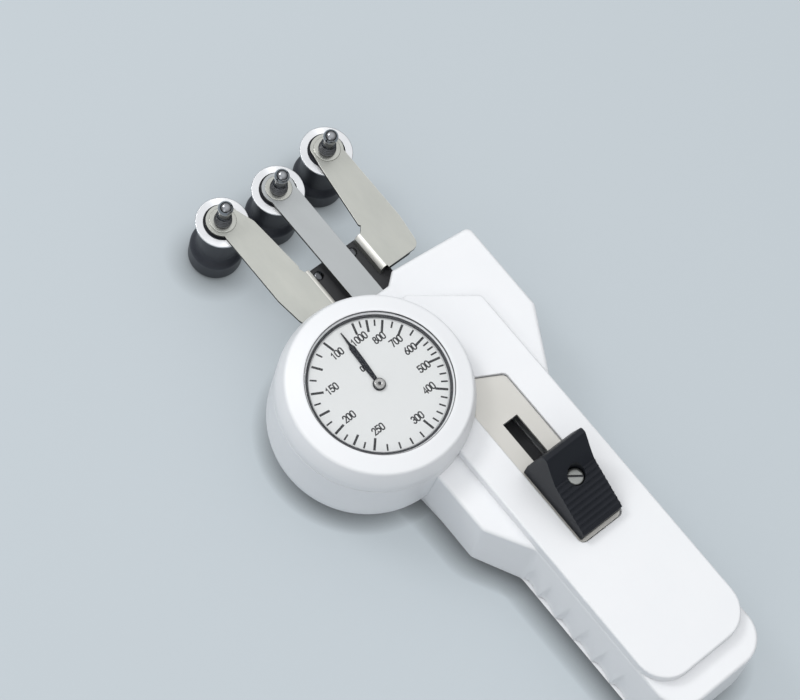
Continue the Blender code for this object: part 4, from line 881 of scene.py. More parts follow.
# black steel of the carriage, also the painted shade of the strips and block under the arms
BLACK_STEEL_AND_SHADE = Finish(
    "black_steel_and_painted_shade", Slot.DARK_STEEL, (0.046, 0.047, 0.050), (0.030, 0.031, 0.034), 0.50, 0.12, 0.2, Grain.SHEET,
    specular=0.35,
)
BRASS = Finish(
    "yellow_brass", Slot.BRASS, (0.66, 0.50, 0.22), (0.56, 0.41, 0.16), 0.32, 0.10, 1.0, Grain.TURNED,
)
CRYSTAL = Finish(
    "clear_crystal", Slot.GLASS, (0.97, 0.985, 0.99), (0.94, 0.955, 0.965), 0.05, 0.04, 0.0, Grain.SMOOTH,
)
COOL_NICKEL = Finish(
    "cool_nickel_sheet", Slot.NICKEL, (0.425, 0.445, 0.45), (0.385, 0.40, 0.405), 0.40, 0.08, 0.9, Grain.SHEET,
)
BURNISHED = Finish(
    "burnished_steel", Slot.CHROME, (0.115, 0.12, 0.128), (0.07, 0.073, 0.08), 0.20, 0.10, 1.0, Grain.TURNED,
)
SCREW_STEEL = Finish(
    "brushed_screw_steel", Slot.CHROME, (0.33, 0.34, 0.33), (0.24, 0.25, 0.24), 0.36, 0.12, 0.9, Grain.SHEET,
)
INK = Finish(
    "dial_ink", Slot.BLACK, (0.014, 0.015, 0.018), (0.022, 0.023, 0.027), 0.50, 0.05, 0.0, Grain.SMOOTH,
)
PALE_INK = Finish(
    "scale_line", Slot.BLACK, (0.34, 0.35, 0.37), (0.30, 0.31, 0.33), 0.50, 0.05, 0.0, Grain.SMOOTH,
)
# painted shade: dark grey for the ring that fills the shaded seam under the bezel
SEAM_SHADE_FINISH = Finish(
    "seam_painted_shade", Slot.BLACK, (0.105, 0.11, 0.125), (0.085, 0.09, 0.10), 0.85, 0.05, 0.0, Grain.MOULDED,
)
ROLLER_MOULDING = Finish(
    "roller_moulding", Slot.BLACK, (0.021, 0.0235, 0.031), (0.028, 0.031, 0.040), 0.42, 0.10, 0.0,
    Grain.MOULDED, specular=0.4,
)
# darker colour for the upright side faces of the arms
DARK_SIDE_FACES = Finish(
    "darkened_side_faces", Slot.NICKEL, (0.10, 0.10, 0.095), (0.06, 0.06, 0.058), 0.50, 0.12, 0.7, Grain.SHEET,
)
# painted highlight for the outside of the arms' bends
BEND_HIGHLIGHT = Finish(
    "painted_bend_highlight", Slot.NICKEL, (0.93, 0.92, 0.86), (0.84, 0.83, 0.78), 0.42, 0.08, 0.5, Grain.SHEET,
)
SATIN_CAP = Finish(
    "satin_cap", Slot.ALUMINIUM, (0.40, 0.40, 0.395), (0.32, 0.32, 0.315), 0.30, 0.08, 0.9, Grain.TURNED,
)
TURNED_WASHER = Finish(
    "turned_washer", Slot.NICKEL, (0.50, 0.505, 0.47), (0.36, 0.365, 0.34), 0.26, 0.10, 1.0, Grain.TURNED,
    turned=0.7,
)
# dark rubber of the seal and the pointer's pin, also the painted shade of the dial's cone ring and the screw's
# slot
RUBBER_AND_SHADE = Finish(
    "rubber_and_painted_shade", Slot.BLACK, (0.045, 0.048, 0.055), (0.035, 0.037, 0.042), 0.62, 0.05, 0.0, Grain.SMOOTH,
)
OWN_FINISHES = (
    ENAMEL, NICKEL, WINDOW_SHEET, MOULDING, DIAL_GROUND, BRIGHT, CHROME, STEEL, BLACK_STEEL_AND_SHADE, BRASS, CRYSTAL,
)
EXTRA_FINISHES = (
    COOL_NICKEL, BURNISHED, SCREW_STEEL, INK, PALE_INK, SEAM_SHADE_FINISH, ROLLER_MOULDING, DARK_SIDE_FACES, BEND_HIGHLIGHT,
    SATIN_CAP, TURNED_WASHER, RUBBER_AND_SHADE,
)


@dataclass
class Wiring:
    """Adds shader nodes to a node tree and feeds their inputs."""

    tree: bpy.types.NodeTree

    def add(self, kind: str, feeds: Feeds | None = None, **settings: object) -> bpy.types.Node:
        """Adds a node.

        Args:
            kind: Its type, without the prefix of shader nodes.
            feeds: A value or an output socket for some of its inputs.
            **settings: Its own properties.

        Returns:
            The node.
        """
        node = self.tree.nodes.new(f"ShaderNode{kind}")
        for name, value in settings.items():
            setattr(node, name, value)
        self.feed(node, feeds or {})
        return node

    def feed(self, node: bpy.types.Node, feeds: Feeds) -> None:
        """Sets or links inputs of a node.

        Args:
            node: The node.
            feeds: A value or an output socket for each input.
        """
        for key, value in feeds.items():
            if isinstance(value, bpy.types.NodeSocket):
                self.tree.links.new(value, node.inputs[key])
            else:
                node.inputs[key].default_value = value


class SurfaceGroup:
    """The shared node group that varies colour, gloss and relief over a surface."""

    NAME = "varied_surface"
    INPUTS = {
        "Colour": "Color", "Shadow Colour": "Color", "Roughness": "Float", "Spread": "Float",
        "Mottle Scale": "Float", "Fine Scale": "Float", "Stretch": "Vector", "Depth": "Float", "Edge": "Float",
    }
    OUTPUTS = {"Colour": "Color", "Roughness": "Float", "Normal": "Vector"}
    MOTTLE_DETAIL = 4.0
    MOTTLE_ROUGHNESS = 0.62
    FINE_DETAIL = 2.0
    RELIEF = 0.0001

    def __init__(self) -> None:
        self.tree = bpy.data.node_groups.new(self.NAME, "ShaderNodeTree")
        for in_out, sockets in (("INPUT", self.INPUTS), ("OUTPUT", self.OUTPUTS)):
            for name, kind in sockets.items():
                self.tree.interface.new_socket(name, in_out=in_out, socket_type=f"NodeSocket{kind}")
        self._nodes()

    def _nodes(self) -> None:
        """Builds the group's nodes and links."""
        wiring = Wiring(self.tree)
        given = self.tree.nodes.new("NodeGroupInput").outputs
        result = self.tree.nodes.new("NodeGroupOutput")
        where = wiring.add("TexCoord").outputs["Object"]
        stretched = wiring.add("VectorMath", {0: where, 1: given["Stretch"]}, operation="MULTIPLY").outputs[0]
        mottle = wiring.add("TexNoise", {
            "Vector": stretched, "Scale": given["Mottle Scale"], "Detail": self.MOTTLE_DETAIL,
            "Roughness": self.MOTTLE_ROUGHNESS,
        }).outputs["Fac"]
        fine = wiring.add("TexNoise", {
            "Vector": stretched, "Scale": given["Fine Scale"], "Detail": self.FINE_DETAIL,
        })
        blend = wiring.add(
            "MixRGB", {"Fac": mottle, "Color1": given["Colour"], "Color2": given["Shadow Colour"]},
        )
        centred = wiring.add("Math", {0: mottle, 1: 0.5}, operation="SUBTRACT")
        gloss = wiring.add("Math", {
            0: centred.outputs[0], 1: given["Spread"], 2: given["Roughness"],
        }, operation="MULTIPLY_ADD")
        edge = wiring.add("Bevel", {"Radius": given["Edge"]}, samples=4)
        relief = wiring.add("Bump", {
            "Strength": given["Depth"], "Distance": self.RELIEF, "Height": fine.outputs["Fac"],
            "Normal": edge.outputs["Normal"],
        })
        wiring.feed(result, {
            "Colour": blend.outputs["Color"], "Roughness": gloss.outputs[0],
            "Normal": relief.outputs["Normal"],
        })


@dataclass
class FinishShop:
    """Makes the materials and hands them out."""

    group: SurfaceGroup = field(default_factory=SurfaceGroup)
    made: dict[Finish | Slot, bpy.types.Material] = field(default_factory=dict)

    COAT_ROUGHNESS = 0.22
    GLINT = 0.04

    def stock(self) -> None:
        """Makes every material."""
        for finish in OWN_FINISHES:
            self.made[finish.slot] = self.glass(finish) if finish is CRYSTAL else self.paint(finish)
        for finish in EXTRA_FINISHES:
            self.made[finish] = self.paint(finish)

    def surface(self, finish: Finish) -> tuple[bpy.types.Material, Wiring, bpy.types.NodeOutputs]:
        """Starts a material with the shared group set to a finish.

        Args:
            finish: What it looks like.

        Returns:
            The material, its wiring and the group's outputs.
        """
        started = bpy.data.materials.new(finish.name)
        started.use_nodes = True
        wiring = Wiring(started.node_tree)
        grain = finish.grain.value
        surface = wiring.add("Group", {
            "Colour": (*finish.colour, 1.0), "Shadow Colour": (*finish.shadow_colour, 1.0),
            "Roughness": finish.roughness, "Spread": finish.spread, "Mottle Scale": grain.mottle_scale,
            "Fine Scale": grain.fine_scale, "Stretch": grain.stretch, "Depth": grain.depth, "Edge": grain.edge,
        }, node_tree=self.group.tree)
        return started, wiring, surface.outputs

    def paint(self, finish: Finish) -> bpy.types.Material:
        """Makes an opaque material.

        Args:
            finish: What it looks like.

        Returns:
            The material.
        """
        made, wiring, surface = self.surface(finish)
        shader = made.node_tree.nodes["Principled BSDF"]
        wiring.feed(shader, {
            "Metallic": finish.metallic, "Specular IOR Level": finish.specular, "Coat Weight": finish.coat,
            "Coat Roughness": self.COAT_ROUGHNESS, "Base Color": surface["Colour"],
            "Roughness": surface["Roughness"], "Normal": surface["Normal"],
        })
        if finish.turned:
            around = wiring.add("Tangent", direction_type="RADIAL", axis="Z")
            wiring.feed(shader, {"Anisotropic": finish.turned, "Tangent": around.outputs["Tangent"]})
        return made

    def glass(self, finish: Finish) -> bpy.types.Material:
        """Makes the crystal's material, which lets light through to the dial and glints at low angles.

        Args:
            finish: What it looks like.

        Returns:
            The material.
        """
        made, wiring, surface = self.surface(finish)
        nodes = made.node_tree.nodes
        nodes.remove(nodes["Principled BSDF"])
        clear = wiring.add("BsdfTransparent")
        rim = wiring.add("LayerWeight", {"Blend": self.GLINT})
        glint = wiring.add("BsdfGlossy", {
            "Color": surface["Colour"], "Roughness": surface["Roughness"], "Normal": surface["Normal"],
        })
        mixed = wiring.add("MixShader", {0: rim.outputs["Facing"], 1: clear.outputs[0], 2: glint.outputs[0]})
        wiring.feed(nodes["Material Output"], {"Surface": mixed.outputs[0]})
        return made


# The gauge


@dataclass
class Dresser:
    """Places pieces on the frame and gives each its finish."""

    shop: FinishShop
    nodes: dict[str, bpy.types.Object]
    slots: dict[str, Slot]

    def wear(self, obj: Piece, slot: Slot, body: Body, *replaced: str, finish: Finish | None = None) -> Piece:
        """Finishes a piece and lets it ride.

        Args:
            obj: The piece.
            slot: Its slot in the record.
            body: The body that it moves with.
            *replaced: CAD nodes that it stands for.
            finish: A finish other than the slot's own.

        Returns:
            The piece.
        """
        obj.data.materials.clear()
        obj.data.materials.append(self.shop.made[finish or slot])
        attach(obj, body.value)
        if replaced:
            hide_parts(*replaced)
        return obj

    def dress_frame(self) -> None:
        """Gives every CAD node the material of its slot."""
        for name, obj in self.nodes.items():
            material = self.shop.made[self.slots[name]]
            if not obj.material_slots:
                obj.data.materials.append(material)
            for held in obj.material_slots:
                held.material = material


@dataclass
class Work:
    """A share of the work, whose pieces go to the dresser."""

    dresser: Dresser

    @staticmethod
    def edged(radius: float, top: float, edge: Sequence[Point]) -> Outline:
        """Places an edge, given as distances inwards and down, at a radius and a height."""
        return [(radius - inward, top - down) for inward, down in edge]

    def turn(
        self, name: str, profile: Outline, sides: int, at: Point, slot: Slot, body: Body, *replaced: str,
        finish: Finish | None = None, angle: float = 40.0,
    ) -> Piece:
        """Spins a profile into a smooth piece and dresses it.

        Args:
            name: Name of the piece.
            profile: Points of radius and height.
            sides: Number of steps.
            at: Where its axis stands.
            slot: Its slot in the record.
            body: The body that it moves with.
            *replaced: CAD nodes that it stands for.
            finish: A finish other than the slot's own.
            angle: Edges sharper than this angle, in degrees, stay sharp.

        Returns:
            The piece.
        """
        piece = shade(lathe(name, profile, sides, at), angle)
        return self.dresser.wear(piece, slot, body, *replaced, finish=finish)


class Casting(Work):
    """Builds the housing with its handle, drum and deck."""

    EDGE_STEPS = 6
    DRUM_STEPS = 12
    SCALLOP_STEPS = 6
    DRUM_SIDES = 128

    @staticmethod
    def outline(base: float, grip: float) -> Outline:
        """Draws the housing from above.

        Args:
            base: How far the wide part is moved outwards.
            grip: How far the handle is moved outwards.

        Returns:
            The outline.
        """
        size = HOUSING
        front, right, left = size.front + base, size.right + base, -size.left - base
        half, recess = size.grip_half + grip, size.front + base - size.front_recess
        rear, rear_radius = size.grip_end - grip, size.grip_end_radius + grip
        return rounded([
            (DIAL.x, recess, 0.0),
            (size.front_recess_edge - size.front_recess_ramp, recess, size.ramp_radii[0]),
            (size.front_recess_edge, front, size.ramp_radii[1]),
            (right, front - size.front_slope, size.corner_radius),
            (right, size.right_side_rear - base, size.corner_radius),
            (half + size.grip_swell, size.right_shoulder_rear - grip, size.shoulder_radius),
            (half - size.grip_swell / 2, size.grip_waist_rear, 0.0),
            (half, rear, rear_radius),
            (-half, rear, rear_radius),
            (-half, size.left_shoulder_rear - grip, size.shoulder_radius),
            (left, size.left_side_rear - grip, size.shoulder_radius),
        ])[::-1]

    @staticmethod
    def deck(out: float) -> Outline:
        """Draws the raised deck from above.

        Args:
            out: How far it is moved outwards.

        Returns:
            The outline.
        """
        half = HOUSING.deck_half + out
        rear, rear_radius = HOUSING.deck_rear - out, HOUSING.grip_end_radius + out
        return rounded([
            (-half, HOUSING.deck_front + out, 0.0),
            (0.0, HOUSING.deck_front + out, 0.0),
            (half, HOUSING.deck_front_right + out, HOUSING.corner_radius),
            (half, rear, rear_radius),
            (-half, rear, rear_radius),
        ])[::-1]

    @staticmethod
    def window(out: float) -> Outline:
        """Draws the window's recess from above.

        Args:
            out: How far it is moved outwards.

        Returns:
            The outline.
        """
        half = WINDOW.half + out
        return rounded([
            (-half, WINDOW.front_left + out, 0.0),
            (half, WINDOW.front_right + out, WINDOW.corner_radius),
            (half, WINDOW.rear - out, WINDOW.corner_radius),
            (-half, WINDOW.rear - out, WINDOW.corner_radius),
        ])[::-1]

    @classmethod
    def edge(cls, outline: Callable[[float], Outline], top: float, radius: float) -> list[Ring]:
        """Rounds the top edge of a loft.

        Args:
            outline: Gives the outline moved outwards by a distance.
            top: Height of the top.
            radius: Radius of the edge.

        Returns:
            The rings above the straight wall.
        """
        turns = quarter(cls.EDGE_STEPS)[1:]
        return [(outline(radius * (cosine - 1)), top - radius * (1 - sine)) for cosine, sine in turns]

    @classmethod
    def drum_profile(cls) -> Outline:
        """Draws the drum's outer profile with its rounded foot.

        Returns:
            The closed profile.
        """
        flare = DIAL.drum_radius - DIAL.drum_foot_radius
        below = HOUSING.foot_z - OVERRUN
        side = [
            (DIAL.drum_foot_radius + flare * sine, HOUSING.foot_z + DIAL.drum_round * (1 - cosine))
            for cosine, sine in quarter(cls.DRUM_STEPS)
        ]
        return [(0.0, below), (DIAL.drum_foot_radius, below)] + side + [
            (DIAL.drum_radius, DIAL.drum_top - DIAL.drum_chamfer),
            (DIAL.drum_radius - DIAL.drum_chamfer, DIAL.drum_top),
            (DIAL.spigot_radius, DIAL.drum_top), (DIAL.spigot_radius, DIAL.spigot_top), (0.0, DIAL.spigot_top),
        ]

    @classmethod
    def scallops(cls) -> Piece:
        """Makes the cutter of the finger scallops.

        Returns:
            The cutter.
        """
        cusp = -HOUSING.grip_half - HOUSING.grip_draft
        hollow = cusp + SCALLOPS.depth
        outside = cusp - HOUSING.side_wall * 2
        cusps = [SCALLOPS.start] + [SCALLOPS.first - SCALLOPS.pitch * i for i in range(SCALLOPS.count)]
        shares = [i / cls.SCALLOP_STEPS for i in range(1, cls.SCALLOP_STEPS + 1)]
        points: Outline = [(outside, SCALLOPS.start), (cusp, SCALLOPS.start)]
        for start, end in zip(cusps, cusps[1:]):
            points += [
                (cusp + SCALLOPS.depth * math.sin(QUARTER * share), start - SCALLOPS.run_in * share)
                for share in shares
            ]
            deepest = start - SCALLOPS.run_in
            points += [
                (hollow - SCALLOPS.depth * share * share, deepest + (end - start + SCALLOPS.run_in) * share)
                for share in shares
            ]
        points.append((outside, cusps[-1]))
        return prism("scallops", points, HOUSING.foot_z - OVERRUN, SCALLOPS.top_z)

    def build(self) -> None:
        """Builds the casting and lets it stand for its CAD node."""
        size = HOUSING
        foot = self.outline(size.base_draft, size.grip_draft)
        rings = [
            (foot, size.foot_z - OVERRUN), (foot, size.foot_z),
            (self.outline(0.0, 0.0), size.top_z - size.edge_radius),
        ]
        rings += self.edge(lambda out: self.outline(out, out), size.top_z, size.edge_radius)
        shell = loft("housing_shell", rings)
        deck = [
            (self.deck(0.0), size.ceiling_z + size.deck_root),
            (self.deck(0.0), size.deck_z - size.deck_edge_radius),
        ]
        deck += self.edge(self.deck, size.deck_z, size.deck_edge_radius)
        join(shell, loft("deck", deck), lathe("drum", self.drum_profile(), self.DRUM_SIDES, DIAL_CENTRE))
        recess = prism("recess", self.window(0.0), size.recess_z, size.deck_z + OVERRUN)
        reach, above = DIAL.drum_radius + GAP, size.deck_z + OVERRUN * 2
        cut(recess, rod("clear", reach, size.ceiling_z, above, DIAL_CENTRE, self.DRUM_SIDES))
        slot_half = WINDOW.slot_half + OVERRUN
        slot = block(
            "slot", (-slot_half, WINDOW.slot_rear - GAP, size.ceiling_z - OVERRUN),
            (slot_half, WINDOW.slot_front + GAP, size.deck_z),
        )
        mouth = block(
            "mouth", (size.mouth_left, size.mouth_rear, size.mouth_sill),
            (size.mouth_right, size.front + OVERRUN, size.ceiling_z),
        )
        ground = block("ground", size.ground_low, size.ground_high)
        cut(shell, ground, recess, self.core(), slot, mouth, self.scallops())
        self.dresser.wear(shade(shell), Slot.WHITE, Body.HOUSING, "main_housing")

    def core(self) -> Piece:
        """Makes what is hollow inside the casting.

        Returns:
            The cutter.
        """
        below, ceiling = HOUSING.foot_z - OVERRUN * 2, HOUSING.ceiling_z
        top = DIAL.spigot_top + OVERRUN
        core = lathe("well", [
            (0.0, below), (DIAL.drum_bore, below), (DIAL.drum_bore, ceiling), (DIAL.ledge_bore, ceiling),
            (DIAL.ledge_bore, DIAL.ledge_top), (DIAL.spigot_bore, DIAL.ledge_top),
            (DIAL.spigot_bore, top), (0.0, top),
        ], self.DRUM_SIDES, DIAL_CENTRE)
        hollow = self.outline(-HOUSING.side_wall, -HOUSING.side_wall)
        return join(core, prism("hollow", hollow, below, ceiling))


class DialWork(Work):
    """Builds bezel, crystal, printed scale and pointer."""

    SIDES = 128
    FINE_SIDES = 160
    EDGE_STEPS = 10

    def build(self) -> None:
        """Builds all pieces of the dial."""
        self.bezel()
        self.crystal()
        self.gasket()
        self.scale()
        self.pointer()

    def bezel(self) -> None:
        """Builds the turned ring, whose side leans in to a soft edge, and the dark grey ring of painted shade
        in the seam under it.
        """
        size, steps = DIAL, self.EDGE_STEPS
        bottom = size.drum_top + size.seam
        shoulder = [
            (size.drum_radius - (size.drum_radius - size.edge_radius) * (i / steps) ** size.side_power,
             size.side_z + (size.edge_z - size.side_z) * i / steps)
            for i in range(steps)
        ]
        middle = (
            size.edge_radius - size.edge_round * math.cos(size.edge_start),
            size.edge_z - size.edge_round * math.sin(size.edge_start),
        )
        shoulder += arc(middle, size.edge_round, size.edge_start, size.edge_end, steps)
        bore = size.spigot_radius + GAP
        profile = [(size.drum_radius - size.chamfer, bottom), (size.drum_radius, bottom + size.chamfer)]
        profile += shoulder + [
            (size.rim_radius + size.rim_land, size.top - size.chamfer), (size.rim_radius, size.top),
            (size.opening + size.chamfer, size.top), (size.opening, size.top - size.chamfer),
            (size.opening, size.seat_z), (size.seat, size.seat_z), (size.seat, size.seat_z - size.seat_lip),
            (size.visible, size.pointer_z), (bore, size.pointer_z), (bore, bottom),
        ]
        self.turn(
            "bezel_ring", profile, self.FINE_SIDES, DIAL_CENTRE, Slot.WHITE, Body.BEZEL, "bezel", angle=32.0,
        )
        # painted shade: a dark grey ring fills the seam between drum and bezel, where the gap is in shade
        seam_shade_band = band(
            (size.spigot_radius + size.seam_lap, size.drum_top + HAIR),
            (size.seam_radius, bottom - size.felt_gap), (size.felt_round,) * 4,
        )
        self.turn("seam_shade_ring", seam_shade_band, self.SIDES, DIAL_CENTRE, Slot.BLACK, Body.HOUSING, finish=SEAM_SHADE_FINISH)

    def crystal(self) -> None:
        """Builds the crystal and the seal around it."""
        low = DIAL.seat_z + GAP
        high = low + DIAL.crystal
        radius, edge = DIAL.opening - DIAL.crystal_gap, DIAL.crystal_edge
        glass = [(0.0, low), (radius, low), (radius, high - edge), (radius - edge, high), (0.0, high)]
        self.turn("dial_crystal", glass, self.SIDES, DIAL_CENTRE, Slot.GLASS, Body.BEZEL, "crystal")
        inside, below = radius + DIAL.seal_gap, low - DIAL.seal_sink
        seal = band((inside, below), (DIAL.opening - HAIR, high - HAIR), DIAL.seal_round)
        self.turn("crystal_seal", seal, self.SIDES, DIAL_CENTRE, Slot.BLACK, Body.BEZEL, finish=RUBBER_AND_SHADE)

    def gasket(self) -> None:
        """Builds the dark ring on the cone between crystal and dial, a ring of painted shade at the foot of
        the cone.
        """
        size, sink, soft = DIAL, DIAL.gasket_sink, DIAL.gasket_round
        rise = (size.seat_z - size.pointer_z) / (size.seat - size.visible)
        inner, outer = size.gasket_inner, size.gasket_outer
        inner_z = size.pointer_z + (inner - size.visible) * rise
        outer_z = size.pointer_z + (outer - size.visible) * rise
        profile = [
            (inner, inner_z - sink), (outer, outer_z - sink), (outer, outer_z + HAIR),
            (outer - soft, outer_z + soft), (inner + soft, inner_z + sink * 2), (inner, inner_z + sink),
        ]
        self.turn("dial_shade_ring", profile, self.FINE_SIDES, DIAL_CENTRE, Slot.BLACK, Body.BEZEL, finish=RUBBER_AND_SHADE)

    @staticmethod
    def tick(shape: Shape, angle: float, inner: float, width: float) -> None:
        """Adds one tick to the scale.

        Args:
            shape: The scale's bmesh.
            angle: Degrees clockwise from +Y.
            inner: Radius of its inner end.
            width: Its width.
        """
        low = DIAL.plate_top + SCALE.lift
        turn = Matrix.Rotation(-math.radians(angle), 3, "Z")
        corners = band((-width / 2, inner), (width / 2, SCALE.outer))
        layers = [
            [shape.verts.new(turn @ Vector((x, y, 0.0)) + Vector((DIAL.x, 0.0, z))) for x, y in corners]
            for z in (low, low + SCALE.ink)
        ]
        shape.faces.new(layers[0][::-1])
        shape.faces.new(layers[1])
        skin(shape, *layers)

    def scale(self) -> None:
        """Prints the ticks, the ring and the plain numerals."""
        size = SCALE
        shape = bmesh.new()
        for _, angle, _, _ in size.labels:
            self.tick(shape, angle, size.long_inner, size.long_width)
        for (value, start, _, _), (_, end, _, _), steps in zip(size.labels, size.labels[1:], size.steps):
            for i in range(1, steps):
                middle = steps == size.halved_steps and i == steps // 2 and value < size.halved_below
                inner = size.middle_inner if middle else size.short_inner
                width = size.long_width if middle else size.short_width
                self.tick(shape, start + (end - start) * i / steps, inner, width)
        self.dresser.wear(make_object("scale_ticks", shape), Slot.BLACK, Body.BEZEL, finish=INK)
        low = DIAL.plate_top + size.lift
        section = band((size.ring_inner, low), (size.ring_outer, low + size.ink))
        ring = lathe("scale_ring", section, self.SIDES, DIAL_CENTRE)
        self.dresser.wear(ring, Slot.BLACK, Body.BEZEL, finish=PALE_INK)
        for value, _, angle, radius in size.labels:
            if value not in size.unlabelled:
                turn = math.radians(angle)
                self.numeral(str(value), (radius * math.sin(turn), radius * math.cos(turn)), size.label_height)
        self.numeral("0", size.zero_place, size.zero_height)

    def numeral(self, text: str, place_at: Point, height: float) -> None:
        """Prints one plain number.

        Args:
            text: The number.
            place_at: Its middle, from the dial's centre.
            height: Height of its figures.
        """
        shape = bmesh.new()
        corner = Vector((DIAL.x + place_at[0], place_at[1], DIAL.plate_top + SCALE.lift))
        along = height * Figures.SQUEEZE
        wide = (Figures.PITCH * (len(text) - 1) + Figures.WIDTH) * along
        for i, figure in enumerate(text):
            start = corner + Vector((Figures.PITCH * along * i - wide / 2, -height / 2, 0.0))
            for j, (points, closed) in enumerate(Figures.STROKES[figure]):
                laid = [start + Vector((x * along, y * height, SCALE.stroke_lift * j)) for x, y in points]
                self.stroke(shape, laid, closed)
        self.dresser.wear(make_object(f"numeral_{text}", shape), Slot.BLACK, Body.BEZEL, finish=INK)

    @staticmethod
    def stroke(shape: Shape, points: list[Vector], closed: bool) -> None:
        """Adds one printed stroke of even width.

        Args:
            shape: The bmesh to add to.
            points: The stroke's middle line.
            closed: Whether it closes on itself.
        """
        half, least_lean = SCALE.stroke / 2, 0.6
        count = len(points)
        rise = Vector((0.0, 0.0, SCALE.ink))
        corners = []
        for i, point in enumerate(points):
            before = points[i - 1] if i or closed else point
            after = points[(i + 1) % count] if i < count - 1 or closed else point
            ins = (point - before).normalized()
            outs = (after - point).normalized()
            way = (ins + outs).normalized()
            side = Vector((-way.y, way.x, 0.0))
            lean = max(least_lean, abs(way.dot(outs if outs.length else ins)))
            ends = way * half * (0 if closed else (i == count - 1) - (i == 0))
            left, right = point + side * half / lean + ends, point - side * half / lean + ends
            corners.append([shape.verts.new(at) for at in (left, right, right + rise, left + rise)])
        for i in range(count if closed else count - 1):
            skin(shape, corners[i], corners[(i + 1) % count])
        if not closed:
            shape.faces.new(corners[0][::-1])
            shape.faces.new(corners[-1])

    def pointer(self) -> None:
        """Builds the pointer, its hub and the arbor's end."""
        cosine, sine = math.cos(DIAL.pointer_angle), math.sin(DIAL.pointer_angle)
        outline = [(x, -y) for x, y in DIAL.pointer_side] + list(DIAL.pointer_side[::-1])
        turned = [(DIAL.x + x * cosine - y * sine, x * sine + y * cosine) for x, y in outline]
        low, high = DIAL.pointer_z, DIAL.pointer_z + DIAL.pointer_thickness
        needle = prism("pointer_needle", turned, low, high)
        join(needle, rod("boss", DIAL.hub_radius + GAP, low, high, DIAL_CENTRE))
        self.dresser.wear(shade(soften(needle, DIAL.needle_edge)), Slot.BLACK, Body.POINTER, "pointer")
        bottom, top, radius, bore = DIAL.hub_bottom, DIAL.hub_top, DIAL.hub_radius, DIAL.hub_bore
        inward, down = DIAL.hub_bore_edge
        cap = [(bore, bottom), (radius, bottom)] + self.edged(radius, top, DIAL.hub_edge)
        cap += [(bore + inward, top), (bore, top - down)]
        self.turn(
            "pointer_cap", cap, 64, DIAL_CENTRE, Slot.ALUMINIUM, Body.POINTER, "pointer_hub", finish=SATIN_CAP,
        )
        radius = DIAL.pin_radius
        pin = [(0.0, bottom), (radius, bottom)] + self.edged(radius, top, DIAL.pin_edge) + [(0.0, top - HAIR)]
        self.turn("pointer_pin", pin, 32, DIAL_CENTRE, Slot.BLACK, Body.POINTER, finish=RUBBER_AND_SHADE)


